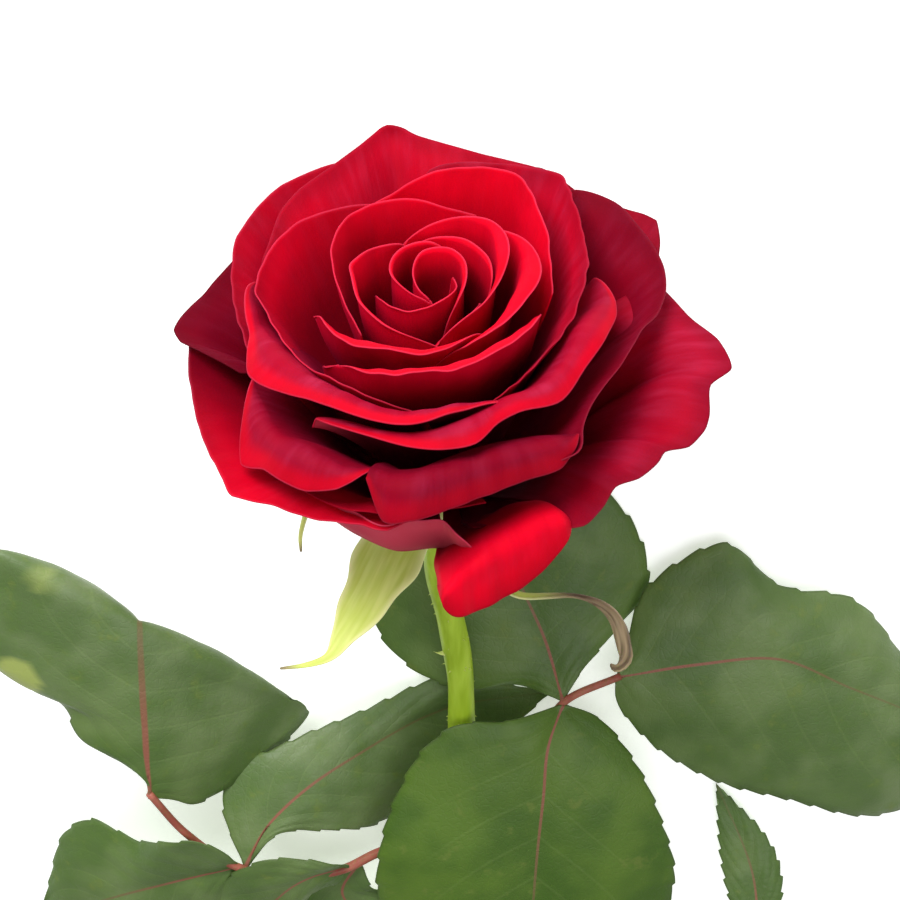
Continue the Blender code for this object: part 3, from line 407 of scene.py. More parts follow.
LEAVES = {
    "leaf_upper_right": Leaf([
        (9.5, -112, 8.5), (14, -99, 9), (21, -78, 10), (26, -63, 12), (38, -57, 11),
    ], [
        Leaflet(
            [
                (38, -55, 10), (43, -39, 5), (50, -33, 4), (59, -29, 4), (70, -38, 5), (86, -42, 4),
                (98, -57, 2),
            ],
            [(37, -57.5, 11), (54, -54, 11.5), (71, -53, 11), (86, -61, 9), (100, -69, 6), (115, -80, 1)],
            [(37, -62, 11), (44, -73, 11), (57, -83, 10), (78, -91, 8), (98, -96, 4)],
            (0.35, 0.8), 0.36,
        ),
        Leaflet(
            [
                (15, -61, 8), (7, -63, 7), (-4, -60, 5), (-13, -51, 3), (-15, -42, 2), (-12, -31, 1),
                (-3, -19, 1),
            ],
            [(26, -62.5, 12), (22, -50, 7), (18, -41, 5), (13, -28, 3), (9, -12, 1)],
            [(29, -58, 10), (37, -50, 5), (44, -40, 2), (43, -32, 1.5), (36, -20, 1), (22, -12, 1)],
            (0.4, 0.2), 0.36,
        ),
        Leaflet(
            [(32, -65, 13), (42, -77, 14), (47, -89, 14.5), (51, -106, 14), (44, -128, 10)],
            [
                (26, -63, 12.5), (23, -70, 17), (22, -82, 19), (21, -94, 19.5), (20, -115, 18),
                (20, -142, 10),
            ],
            [
                (15, -64, 17), (3, -65, 18), (-3, -70, 18.5), (-9, -81, 19), (-13, -96, 19),
                (-13, -110, 17), (-2, -130, 12),
            ],
            (0.1, 0), 0.36,
        ),
    ]),
    "leaf_upper_left": Leaf([
        (1.4, -99, 9.5), (-13, -100, 13), (-20, -102, 16), (-42, -99.5, 19.5), (-53, -89, 22),
        (-60, -77, 25),
    ], [
        Leaflet(
            [
                (-61, -72, 25), (-65, -69, 24.5), (-74, -64, 23.5), (-77.5, -56, 23),
                (-84.5, -53, 22.5), (-92, -46, 22), (-95, -36.5, 22), (-93, -27, 23), (-88, -19.5, 24),
                (-85.5, -22.5, 20), (-79, -32, 12), (-71, -42, 5),
            ],
            [
                (-60, -78, 25), (-60, -63, 26.5), (-60, -50, 26.8), (-60, -39, 26.2), (-60, -35.6, 25),
                (-60.5, -37, 22), (-61, -41.5, 15), (-62, -46.5, 7), (-63, -52, 1.5),
            ],
            [
                (-55, -80.5, 22), (-52, -83, 20), (-45, -82, 16), (-36, -77, 11), (-29.5, -72, 7),
                (-27.5, -69, 6), (-31, -63.5, 9.5), (-36, -66, 5), (-50, -60, 2.5),
            ],
            (0.3, 1.2), 0.85,
        ),
        Leaflet(
            [
                (-45, -90, 17), (-46, -85, 16), (-43, -78, 14), (-33, -73, 12), (-18, -68, 8),
                (0, -62.5, 2.5),
            ],
            [
                (-41, -99.6, 19.2), (-36, -90, 18), (-27, -81, 16), (-17, -76, 11.5), (0, -70, 4),
                (24, -67, 1),
            ],
            [(-34, -92, 18), (-24, -93, 15), (-13, -96, 8), (-1, -90, 3), (12, -80, 1)],
            (0.6, 0.8), 0.4,
        ),
        Leaflet(
            [(-44, -104, 18), (-52, -118, 14), (-66, -130, 8)],
            [(-42, -99.5, 19), (-56, -104, 18), (-72, -113, 12), (-88, -125, 3)],
            [
                (-46, -92.5, 23.5), (-51, -89, 24), (-57, -90.5, 21.5), (-64, -94.5, 17),
                (-75, -93, 10), (-80, -97, 8), (-85, -111, 6),
            ],
            (0.5, 0.5), 0.4,
        ),
        Leaflet(
            [(-21, -105, 16), (-28, -110, 16), (-30, -126, 9)],
            [(-19, -101.5, 16), (-28, -102, 20), (-38, -113, 17), (-46, -138, 3)],
            [
                (-22, -98, 20), (-29, -95.5, 22), (-36, -95, 22), (-42, -98.5, 21), (-49, -109, 16),
                (-54, -124, 10),
            ],
            (0.5, 0.5), 0.4,
        ),
        plain_leaflet([(-17, -101.5, 14.5), (-21, -110, 13), (-15, -122, 10), (-13, -145, 3)], 12),
    ]),
    "leaf_lower_right": Leaf([
        (7, -168, 5.6), (26, -154, 9), (44, -143, 11), (58, -134, 11), (67, -127, 10),
    ], [
        plain_leaflet([(70, -128, 10), (68.5, -111, 7), (60, -90, 1.5)], 6.5),
        plain_leaflet([(56, -135, 11), (76, -142, 10), (100, -152, 2)], 18),
        plain_leaflet([(52, -137, 11), (58, -160, 10), (66, -188, 2)], 19),
        plain_leaflet([(27, -154, 9), (34, -175, 8), (36, -202, 2)], 17),
    ]),
    "leaf_lower_left": Leaf([
        (-3.4, -215, 5), (-18, -201, 10), (-34, -190, 12), (-52, -179, 12), (-64, -172, 11),
    ], [
        plain_leaflet([(-62, -173, 11), (-84, -166, 10), (-112, -160, 2)], 20),
        plain_leaflet([(-50, -180, 12), (-54, -163, 10), (-60, -142, 2)], 16),
        plain_leaflet([(-50, -180, 12), (-58, -200, 10), (-72, -228, 2)], 19),
        plain_leaflet([(-24, -197, 11), (-24, -180, 9), (-22, -158, 2)], 14),
        plain_leaflet([(-24, -197, 11), (-32, -218, 9), (-38, -246, 2)], 17),
    ]),
}


# Meshes

Shape = namedtuple("Shape", "points faces fields")


def grid_faces(rows, columns, wrap=False):
    """The quads of a grid, as rows of four point numbers."""
    numbers = np.arange(rows * columns).reshape(rows, columns)
    if wrap:
        numbers = np.hstack([numbers, numbers[:, :1]])
    quads = [numbers[:-1, :-1], numbers[:-1, 1:], numbers[1:, 1:], numbers[1:, :-1]]
    return np.stack(quads, axis=-1).reshape(-1, 4)


def blade_normals(grid):
    """Unit normals of a grid of points: the cross product of its two directions. At a point where a whole
    row meets, the next row's normal is used."""
    crossed = np.cross(np.gradient(grid, axis=1), np.gradient(grid, axis=0))
    normal = unit(crossed)
    weak = np.linalg.norm(crossed, axis=-1) < 1e-4
    for edge, inner in ((0, 1), (-1, -2)):
        normal[edge, weak[edge]] = normal[inner, weak[edge]]
        normal[weak[:, edge], edge] = normal[weak[:, edge], inner]
    return normal


def blade(grid, thickness, facing, fields):
    """A closed blade about a grid of points in mm: two faces half the thickness off the grid, joined at
    the border by a rounded strip. Facing is a point that the top face looks towards. The field back is 0
    on the top face and 1 on the other."""
    rows, columns = grid.shape[:2]
    thickness = np.broadcast_to(thickness, (rows, columns))[..., None]
    normal = blade_normals(grid)
    flip = (normal * (np.asarray(facing) - grid)).sum(axis=-1).mean() < 0
    normal = -normal if flip else normal
    number = np.arange(rows * columns).reshape(rows, columns)
    border = np.concatenate([number[0], number[1:, -1], number[-1, -2::-1], number[-2:0:-1, 0]])
    inner_row = np.clip(border // columns, 1, rows - 2)
    inner_column = np.clip(border % columns, 1, columns - 2)
    flat = grid.reshape(-1, 3)
    outward = unit(flat[border] - flat[number[inner_row, inner_column]])
    edge = flat[border] + 0.45 * thickness.reshape(-1, 1)[border] * outward
    top = (grid + normal * thickness / 2).reshape(-1, 3)
    bottom = (grid - normal * thickness / 2).reshape(-1, 3)
    count = rows * columns
    upper = grid_faces(rows, columns)
    rim = 2 * count + np.arange(len(border))
    after = np.roll(np.arange(len(border)), -1)
    strip_up = np.column_stack([border[after], border, rim, rim[after]])
    strip_down = np.column_stack([rim[after], rim, border + count, border[after] + count])
    faces = np.concatenate([upper, upper[:, ::-1] + count, strip_up, strip_down])
    values = {}
    for name, value in fields.items():
        value = np.broadcast_to(value, (rows, columns)).reshape(-1)
        values[name] = np.concatenate([value, value, value[border]])
    values["back"] = np.concatenate([np.zeros(count), np.ones(count), np.full(len(border), 0.5)])
    return Shape(np.concatenate([top, bottom, edge]), faces[:, ::-1] if flip else faces, values)


def tube(line, radii, sides, **fields):
    """A closed tube along a line in mm. Radii has a radius for each point, or a (width, height) pair for
    an oval section. Both ends close in a point on the line. A field has one value, or one for each point
    of the line, and the field along is how far that point lies from the line's start."""
    line = np.asarray(line, float)
    radii = np.asarray(radii, float)
    radii = np.column_stack([radii, radii]) if radii.ndim == 1 else radii
    along = unit(np.gradient(line, axis=0))
    level = [0, 0, 1.0] if abs(along[:, 2]).mean() < 0.9 else [0, 1.0, 0]
    side = unit(np.cross(along, level))
    over = np.cross(side, along)
    turn = np.arange(sides) * 2 * math.pi / sides
    ring = side[:, None] * np.cos(turn)[None, :, None] * radii[:, :1, None]
    ring = ring + over[:, None] * np.sin(turn)[None, :, None] * radii[:, 1:, None]
    points = np.vstack([(line[:, None] + ring).reshape(-1, 3), line[0], line[-1]])
    rows = len(line)
    first, last = rows * sides, rows * sides + 1
    low = np.arange(sides)
    high = (rows - 1) * sides + low
    start = np.column_stack([np.full(sides, first), np.roll(low, -1), low, low])
    end = np.column_stack([np.full(sides, last), high, np.roll(high, -1), np.roll(high, -1)])
    faces = np.concatenate([grid_faces(rows, sides, wrap=True), start, end])
    values = {}
    for name, value in {"along": distances(line), **fields}.items():
        value = np.broadcast_to(value, rows)
        values[name] = np.append(np.repeat(value, sides), [value[0], value[-1]])
    return Shape(points, faces, values)


def turned(profile, rows, **fields):
    """A shape turned about the bloom's axis, from its profile of (radius, height) points."""
    radius, height = smooth_line(profile, rows).T
    axis = np.column_stack([np.zeros(rows), np.zeros(rows), height])
    return tube(bloom_to_world(axis), radius, 48, **fields)


def make_piece(name, shapes, material, node):
    """One object from closed shapes in mm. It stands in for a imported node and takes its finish's slot."""
    points = np.concatenate([shape.points for shape in shapes])
    starts = np.cumsum([0] + [len(shape.points) for shape in shapes])
    faces = np.concatenate([shape.faces + start for shape, start in zip(shapes, starts)])
    points = (points + BOX_SHIFT) * MM
    polygons = [quad if quad[2] != quad[3] else quad[:3] for quad in faces.tolist()]
    mesh = bpy.data.meshes.new(name)
    mesh.from_pydata(points.tolist(), [], polygons)
    for field in sorted({key for shape in shapes for key in shape.fields}):
        values = [shape.fields.get(field, np.zeros(len(shape.points))) for shape in shapes]
        layer = mesh.attributes.new(field, "FLOAT", "POINT")
        layer.data.foreach_set("value", np.concatenate(values).astype(np.float32))
    work = bmesh.new()
    work.from_mesh(mesh)
    bmesh.ops.remove_doubles(work, verts=work.verts, dist=0.004 * MM)
    bmesh.ops.dissolve_degenerate(work, edges=work.edges, dist=0.002 * MM)
    bmesh.ops.recalc_face_normals(work, faces=work.faces)
    work.to_mesh(mesh)
    work.free()
    mesh.shade_smooth()
    mesh.materials.append(material)
    piece = bpy.data.objects.new(name, mesh)
    bpy.context.scene.collection.objects.link(piece)
    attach(piece, "root")
    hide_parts(node)


# Materials

# The setting of a MapRange node that eases in and out.
SMOOTH = {"interpolation_type": "SMOOTHSTEP"}


def hex_colour(text):
    """A linear colour from an sRGB hex value."""
    channels = np.array([int(text[i : i + 2], 16) for i in (1, 3, 5)]) / 255
    linear = np.where(channels <= 0.04045, channels / 12.92, ((channels + 0.055) / 1.055) ** 2.4)
    return (*linear.tolist(), 1.0)


def add_node(tree, kind, *inputs, named=None, out=0, **settings):
    """One shader node with its settings and links. Inputs are in the node's own order, or named. Each is
    None to leave it as it is, a value, a hex colour, or the socket that it is linked to. Returns an
    output."""
    node = tree.nodes.new("ShaderNode" + kind)
    for key, value in settings.items():
        setattr(node, key, value)
    for key, value in [*enumerate(inputs), *(named or {}).items()]:
        if isinstance(value, bpy.types.NodeSocket):
            tree.links.new(value, node.inputs[key])
        elif value is not None:
            node.inputs[key].default_value = hex_colour(value) if isinstance(value, str) else value
    return node.outputs[out]


def start_material(name, **shader_values):
    """A new material with its shader's own values set. Returns the material, its node tree and its
    shader."""
    material = bpy.data.materials.new(name)
    material.use_nodes = True
    shader = material.node_tree.nodes["Principled BSDF"]
    for key, value in shader_values.items():
        value = hex_colour(value) if isinstance(value, str) else value
        shader.inputs[key.replace("_", " ")].default_value = value
    return material, material.node_tree, shader


def petal_material():
    """Living petal: a matt, velvety skin of tiny cone-shaped cells over a deep red pigment. The cells
    hide any gloss, a soft mauve sheen is painted into the colour on the folds where the petal is old and
    dull, and fine veins fan out from the root."""
    material, tree, shader = start_material(
        "velvety_rose_petal", Roughness=0.65, IOR=1.4, Specular_IOR_Level=0.06,
        Sheen_Weight=0.07, Sheen_Roughness=0.5, Sheen_Tint="#FF3070",
        Subsurface_Weight=0.10, Subsurface_Radius=(1.0, 0.06, 0.08), Subsurface_Scale=0.002,
    )
    node = partial(add_node, tree)
    fields = ["across", "along", "rim", "dark_rim", "velvet", "tone", "depth", "back"]
    across, along, rim, dark_rim, velvet, tone, depth, back = [
        node("Attribute", out="Fac", attribute_name=field) for field in fields
    ]
    skin = node("TexCoord", out="Object")
    place = node("CombineXYZ", across, along)
    # Veins lie about 1.1 mm apart and folds 2.5 mm, and both run on for 12 mm or more. Real skin cells
    # are too fine to show, so they are drawn 0.45 mm across.
    vein_place = node("VectorMath", place, (0.9, 0.04, 1), operation="MULTIPLY")
    veins = node("TexNoise", vein_place, None, 1, 3, 0.55)
    fold_place = node("VectorMath", place, (0.4, 0.08, 1), operation="MULTIPLY")
    folds = node("TexNoise", fold_place, None, 1, 2)
    clouds = node("TexNoise", skin, None, 1 / (11 * MM), 2)
    cells = node("TexNoise", skin, None, 1 / (0.45 * MM), 2)
    # The inner face goes from a bright red to an old, dull one, with a painted mauve sheen on its folds.
    cloud_share = node("MapRange", clouds, 0.35, 0.65, **SMOOTH)
    bright = node("MixRGB", cloud_share, "#CC001A", "#E20020")
    vein_share = node("MapRange", veins, 0.4, 0.8, 0, 0.10, **SMOOTH)
    bright = node("MixRGB", vein_share, bright, "#A00016")
    fold_share = node("MapRange", folds, 0.35, 0.75, **SMOOTH)
    mauve_sheen = node("MixRGB", fold_share, "#960E30", "#AA264A")
    old = node("MixRGB", node("MapRange", clouds, 0.4, 0.7, 0.2, 0.8, **SMOOTH), mauve_sheen, "#A00020")
    face = node("MixRGB", velvet, bright, old)
    # The outer face turns a paler pink where the velvet is deepest: painted light bounced up from the white
    # table. Then come the petal's tone, partly painted shade, the painted shade that deepens towards its
    # root in the bloom's hollows, and the line along its rim, whose pink is a painted highlight.
    outside = node("MixRGB", cloud_share, "#B40020", "#C60428")
    outside = node("MixRGB", node("MapRange", velvet, 0.6, 1, 0, 1), outside, "#CC4A60")
    body = node("MixRGB", back, face, outside)
    body = node("MixRGB", node("MapRange", tone, 0, 1, 0.9, 0), body, "#5A0012")
    body = node("MixRGB", node("MapRange", depth, 0.05, 1.1, 0, 0.75, **SMOOTH), body, "#5C000C")
    near_rim = node("MapRange", rim, 0.4, 5, 0.4, 0, **SMOOTH)
    dusk = node("Math", near_rim, dark_rim, operation="MULTIPLY")
    body = node("MixRGB", dusk, body, "#4A0414")
    rim_colour = node("MixRGB", dark_rim, "#D8486C", "#38040E")
    body = node("MixRGB", node("MapRange", rim, 0.05, 0.3, 0.3, 0, **SMOOTH), body, rim_colour)
    tree.links.new(body, shader.inputs["Base Color"])
    wrinkled = node("Math", velvet, 0.5, 0.12, operation="MULTIPLY_ADD")
    vein_relief = node("Math", veins, 0.22, operation="MULTIPLY")
    relief = node("Math", folds, wrinkled, vein_relief, operation="MULTIPLY_ADD")
    relief = node("Math", cells, 0.10, relief, operation="MULTIPLY_ADD")
    bump = node("Bump", named={"Height": relief, "Strength": 0.6, "Distance": 0.5 * MM})
    tree.links.new(bump, shader.inputs["Normal"])
    return material


def leaf_material():
    """Living rose leaf: a waxy cuticle with a broad soft gloss over deep green. The side veins are faint
    and a little paler, the midrib is reddish, and the underside is a matt grey-green. A leaflet's tone is
    how grey it is, partly its own grey-green and partly a painted sheen, and where its old field is 1 the
    blade has yellowed."""
    material, tree, shader = start_material(
        "waxy_rose_leaf", IOR=1.45, Specular_IOR_Level=0.45, Coat_Weight=0.06, Coat_Roughness=0.45,
        Subsurface_Weight=0.06, Subsurface_Radius=(0.4, 1.0, 0.15), Subsurface_Scale=0.001,
    )
    node = partial(add_node, tree)
    fields = ["along", "share", "from_rib", "rib_size", "phase", "rim", "back", "tone", "old"]
    along, share, from_rib, rib_size, phase, rim, back, tone, old = [
        node("Attribute", out="Fac", attribute_name=field) for field in fields
    ]
    skin = node("TexCoord", out="Object")
    clouds = node("TexNoise", skin, None, 1 / (16 * MM), 2)
    patches = node("TexNoise", skin, None, 1 / (5 * MM), 3, 0.6)
    fine = node("TexNoise", skin, None, 1 / (0.8 * MM), 2)
    # The net of the smallest veins has meshes about 1.6 mm wide.
    cells = node("TexVoronoi", skin, None, 1 / (1.6 * MM), feature="DISTANCE_TO_EDGE")
    net = node("MapRange", cells, 0, 0.14, 1, 0, **SMOOTH)
    # A side vein lies wherever the phase is a whole number, and it fades towards the edge.
    turn = node("Math", node("Math", phase, 20.5, operation="ADD"), operation="FRACT")
    off_vein = node("Math", node("Math", turn, 0.5, operation="SUBTRACT"), operation="ABSOLUTE")
    vein = node("MapRange", off_vein, 0.01, 0.06, 1, 0, **SMOOTH)
    vein_fade = node("MapRange", share, 0.4, 0.9, 1, 0, **SMOOTH)
    vein = node("Math", vein, vein_fade, operation="MULTIPLY")
    cloud_share = node("MapRange", clouds, 0.35, 0.65, **SMOOTH)
    # The grey-green is partly the leaflet's own colour and partly a painted sheen.
    fresh = node("MixRGB", cloud_share, "#3A5A0A", "#4E6C12")
    grey = node("MixRGB", cloud_share, "#566A3E", "#707F5A")
    green = node("MixRGB", tone, fresh, grey)
    green = node("MixRGB", node("MapRange", patches, 0.4, 0.75, 0, 0.35, **SMOOTH), green, "#4A6818")
    green = node("MixRGB", node("MapRange", patches, 0.6, 0.75, 0, 0.35, **SMOOTH), green, "#6F7A34")
    green = node("MixRGB", node("Math", vein, 0.07, operation="MULTIPLY"), green, "#869A5A")
    under = node("MixRGB", node("MapRange", clouds, 0.3, 0.7, **SMOOTH), "#7F9A60", "#93AC70")
    under = node("MixRGB", node("Math", vein, 0.4, operation="MULTIPLY"), under, "#B4C79A")
    body = node("MixRGB", node("MapRange", back, 0.4, 0.6, **SMOOTH), green, under)
    body = node("MixRGB", old, body, "#9CA858")
    body = node("MixRGB", node("MapRange", rim, 0.05, 0.45, 0.4, 0, **SMOOTH), body, "#3A4A20")
    # The midrib is reddest at its base.
    rib_colour = node("MixRGB", node("MapRange", along, 0.1, 0.6, **SMOOTH), "#8E5042", "#6E5A3A")
    off_rib = node("Math", from_rib, rib_size, operation="DIVIDE")
    rib = node("MapRange", off_rib, 0.7, 1.3, 1, 0, **SMOOTH)
    rib_fade = node("MapRange", along, 0.3, 1, 0.9, 0.2, **SMOOTH)
    rib = node("Math", rib, rib_fade, operation="MULTIPLY")
    body = node("MixRGB", rib, body, rib_colour)
    tree.links.new(body, shader.inputs["Base Color"])
    roughness = node("MapRange", patches, 0.2, 0.8, 0.45, 0.58, **SMOOTH)
    tree.links.new(roughness, shader.inputs["Roughness"])
    net_relief = node("Math", net, -0.2, operation="MULTIPLY")
    relief = node("Math", fine, 0.5, net_relief, operation="MULTIPLY_ADD")
    relief = node("Math", vein, -0.25, relief, operation="MULTIPLY_ADD")
    bump = node("Bump", named={"Height": relief, "Strength": 0.4, "Distance": 0.3 * MM})
    tree.links.new(bump, shader.inputs["Normal"])
    return material


def stalk_material():
    """Leaf stalk: smooth young bark, red in soft patches with fine flecks of green, with a satin
    gloss."""
    material, tree, shader = start_material(
        "reddish_leaf_stalk", Roughness=0.45, IOR=1.45, Specular_IOR_Level=0.35
    )
    node = partial(add_node, tree)
    skin = node("TexCoord", out="Object")
    patches = node("TexNoise", skin, None, 1 / (5 * MM), 2)
    grain = node("TexNoise", skin, None, 1 / (0.6 * MM), 2)
    colour = node("MixRGB", node("MapRange", patches, 0.35, 0.65), "#8C4438", "#A96152")
    colour = node("MixRGB", node("MapRange", grain, 0.45, 0.75, 0, 0.35), colour, "#6C7A3C")
    tree.links.new(colour, shader.inputs["Base Color"])
    bump = node("Bump", named={"Height": grain, "Strength": 0.4, "Distance": 0.2 * MM})
    tree.links.new(bump, shader.inputs["Normal"])
    return material


def stem_material():
    """Green rose stem: a thin waxy bark, light green with faint lines along it, paler on its small
    bristles, and brownish on the prickles' tips."""
    material, tree, shader = start_material(
        "green_rose_stem", Roughness=0.42, IOR=1.45, Specular_IOR_Level=0.35,
        Subsurface_Weight=0.1, Subsurface_Radius=(0.5, 1.0, 0.2), Subsurface_Scale=0.0015,
    )
    node = partial(add_node, tree)
    fields = ["age", "pale", "brown"]
    age, pale, brown = [node("Attribute", out="Fac", attribute_name=field) for field in fields]
    skin = node("TexCoord", out="Object")
    # The lines lie about 2.2 mm apart and are 30 mm long.
    stretch = (1 / (2.2 * MM), 1 / (30 * MM), 1 / (2.2 * MM))
    lines = node("TexNoise", node("VectorMath", skin, stretch, operation="MULTIPLY"), None, 1, 2)
    patches = node("TexNoise", skin, None, 1 / (12 * MM), 2)
    grain = node("TexNoise", skin, None, 1 / (0.5 * MM), 2)
    colour = node("MixRGB", node("MapRange", lines, 0.3, 0.7, **SMOOTH), "#93B01C", "#AECB3C")
    patchy = node("MapRange", patches, 0.2, 0.8, 0.6, 1, **SMOOTH)
    older = node("Math", age, patchy, operation="MULTIPLY")
    colour = node("MixRGB", older, colour, "#5E7A33")
    colour = node("MixRGB", pale, colour, "#D2DC84")
    colour = node("MixRGB", brown, colour, "#8C5A3C")
    tree.links.new(colour, shader.inputs["Base Color"])
    relief = node("Math", grain, 0.4, lines, operation="MULTIPLY_ADD")
    bump = node("Bump", named={"Height": relief, "Strength": 0.4, "Distance": 0.2 * MM})
    tree.links.new(bump, shader.inputs["Normal"])
    return material


def sepal_material():
    """Sepals and hip: soft light green skin with fine lines along it, a paler margin, and brown-grey
    where a tip has dried."""
    material, tree, shader = start_material(
        "light_green_sepal", Roughness=0.55, IOR=1.42, Specular_IOR_Level=0.3,
        Subsurface_Weight=0.15, Subsurface_Radius=(0.5, 1.0, 0.2), Subsurface_Scale=0.0015,
    )
    node = partial(add_node, tree)
    fields = ["across", "along", "margin", "dry"]
    across, along, margin, dry = [
        node("Attribute", out="Fac", attribute_name=field) for field in fields
    ]
    skin = node("TexCoord", out="Object")
    place = node("CombineXYZ", across, along)
    # The lines lie about 1.1 mm apart and are 14 mm long.
    line_place = node("VectorMath", place, (0.9, 0.07, 1), operation="MULTIPLY")
    lines = node("TexNoise", line_place, None, 1, 2)
    clouds = node("TexNoise", skin, None, 1 / (7 * MM), 2)
    line_share = node("MapRange", lines, 0.3, 0.7, **SMOOTH)
    colour = node("MixRGB", line_share, "#BFCD62", "#D2DC80")
    cloud_share = node("MapRange", clouds, 0.35, 0.7, 0, 0.5, **SMOOTH)
    colour = node("MixRGB", cloud_share, colour, "#BCCB58")
    colour = node("MixRGB", margin, colour, "#E4E6A8")
    dried = node("MixRGB", line_share, "#54422F", "#9C886A")
    colour = node("MixRGB", dry, colour, dried)
    tree.links.new(colour, shader.inputs["Base Color"])
    bump = node("Bump", named={"Height": lines, "Strength": 0.4, "Distance": 0.25 * MM})
    tree.links.new(bump, shader.inputs["Normal"])
    return material


def floor_material():
    """A white light table: matt opal acrylic, lit a little from below."""
    return start_material(
        "white_light_table", Roughness=0.9, Specular_IOR_Level=0.1, Base_Color="#F7F8FA",
        Emission_Color="#FFFFFF", Emission_Strength=0.45,
    )[0]


# The bloom


def tucked(rim, reach):
    """The rim with two more points at both ends, which run on round the axis and sink, so that the
    petal's sides round off and tuck in behind its neighbours."""
    rim = np.asarray(rim, float)
    if not reach:
        return rim
    tails = []
    for end, inner in ((rim[0], rim[1]), (rim[-1], rim[-2])):
        way = math.copysign(1, end[0] - inner[0])
        turn = math.degrees(reach / end[1])
        near, far = end.copy(), end.copy()
        near[:3] += [0.6 * way * turn, -0.04 * reach, -0.3 * reach]
        far[:3] += [way * turn, -0.1 * reach, -1.2 * reach]
        near[3:] *= 0.4
        far[3:] = 0
        tails.append((near, far))
    return np.vstack([tails[0][1], tails[0][0], rim, tails[1][0], tails[1][1]])


def rolled_lip(petal, rim_point, lip):
    """Rows of (out, up) points past the rim: an arc that turns by the petal's roll, then a flat flap."""
    lean = math.radians(petal.lean)
    radius = min(LIP_RADIUS, 0.4 + 0.4 * lip.max())
    reach = lip * (np.arange(1, LIP_ROWS + 1) / LIP_ROWS)[:, None]
    bend = np.minimum(reach / radius, math.radians(petal.roll))
    past = reach - bend * radius
    over = math.cos(lean) - np.cos(lean + bend)
    down = np.sin(lean + bend) - math.sin(lean)
    curl = np.stack([over, down], axis=-1) * radius
    flap = np.stack([np.sin(lean + bend), np.cos(lean + bend)], axis=-1) * past[..., None]
    return rim_point + curl + flap


def petal_surface(petal, number, columns, tuck):
    """A grid of points in the bloom's frame, from one side of the petal to the other and from its root to
    its rolled lip.

    Each column is a cubic curve from the root to the rim, which leaves the root at the petal's rise and
    reaches the rim at its lean, and rows lie closer together towards the rim. The petal is narrowest at
    its root. The whole blade is then pushed along its normal by slow waves that grow towards the rim."""
    fine = smooth_line(from_polar(tucked(petal.rim, tuck)), 4 * columns, petal.corner)
    rim = softened(fine, 2)[np.linspace(0, 4 * columns - 1, columns).round().astype(int)]
    out = np.hypot(rim[:, 0], rim[:, 1])
    turn = np.unwrap(np.arctan2(rim[:, 1], rim[:, 0]))
    up = rim[:, 2]
    root_out = ROOT_OUT + ROOT_OUT_SHARE * out.mean()
    root_rise = math.radians(petal.rise)
    lean = math.radians(petal.lean)
    chord = np.hypot(out - root_out, up)[:, None]
    root = np.array([root_out, ROOT_HEIGHT])
    rim_point = np.stack([out, up], axis=-1)
    root_arm = root + ROOT_ARM * chord * [math.cos(root_rise), math.sin(root_rise)]
    rim_arm = rim_point - RIM_ARM * chord * [math.sin(lean), math.cos(lean)]
    middle = (turn.max() + turn.min()) / 2
    share = (1 - (1 - np.linspace(0, 1, PETAL_ROWS)) ** 1.25)[:, None, None]
    profile = (1 - share) ** 3 * root + 3 * share * (1 - share) ** 2 * root_arm
    profile = profile + 3 * share**2 * (1 - share) * rim_arm + share**3 * rim_point
    spread = 0.6 + 0.4 * np.sin(np.minimum(share[:, :, 0] / 0.7, 1) * math.pi / 2)
    turns = middle + (turn - middle) * spread
    if petal.roll:
        profile = np.concatenate([profile, rolled_lip(petal, rim_point, rim[:, 3])])
        turns = np.concatenate([turns, np.broadcast_to(turn, (LIP_ROWS, columns))])
    out, up = profile[..., 0], profile[..., 1]
    grid = np.stack([out * np.cos(turns), out * np.sin(turns), up], axis=-1)
    girth = (turns - middle) * out
    climb = distances(grid).mean(axis=1)[:, None]
    reach = climb / climb[-1]
    size = ramp(rim_point[:, 0].mean(), 5, 40)
    seed = 100 + 7 * number
    push = waves(girth, SLOW_WAVE, seed) * (0.12 + 0.35 * size) * ramp(reach, 0.35, 1.0)
    push += waves(girth, QUICK_WAVE, seed + 1) * (0.05 + 0.12 * size) * ramp(reach, 0.75, 1.0)
    slant = waves(girth * 0.4 + climb, SLANTING_WAVE, seed + 2)
    push += slant * 0.16 * size * ramp(reach, 0.3, 0.8)
    return grid + blade_normals(grid) * push[..., None]


def petal_shape(petal, number, tuck, columns):
    """A petal as a closed blade over the table, thinner at its rim, with the fields for its finish."""
    grid = bloom_to_world(petal_surface(petal, number, columns, tuck))
    grid = above_table(grid, PETAL_THICKNESS / 2)
    along = distances(grid)
    to_rim = along[-1] - along
    across = distances(grid[-1])
    side = np.minimum(across, across[-1] - across)
    over = np.clip((np.arange(len(grid)) - PETAL_ROWS + 1) / LIP_ROWS, 0, 1)[:, None]
    fields = {
        "along": along,
        "across": across + 37.0 * number,
        "rim": np.minimum(to_rim, side * 0.8 + 0.3),
        "dark_rim": petal.dark_rim,
        # Towards a lip's free edge the dull red and its painted mauve sheen give way to bright red: painted
        # light on the part of the lip that faces the light.
        "velvet": petal.velvet * (1 - 0.85 * ramp(over, 0.45, 0.8)),
        "tone": np.linspace(*petal.tone, columns),
        # Painted shade that deepens from the rim down to the root, in the hollows between the petals.
        "depth": to_rim / (5 + 0.5 * np.mean([point[1] for point in petal.rim])),
    }
    thickness = PETAL_THICKNESS * (0.55 + 0.45 * ramp(to_rim, 0.0, 8.0))
    return blade(grid, thickness, bloom_to_world([0, 0, 130.0]), fields)


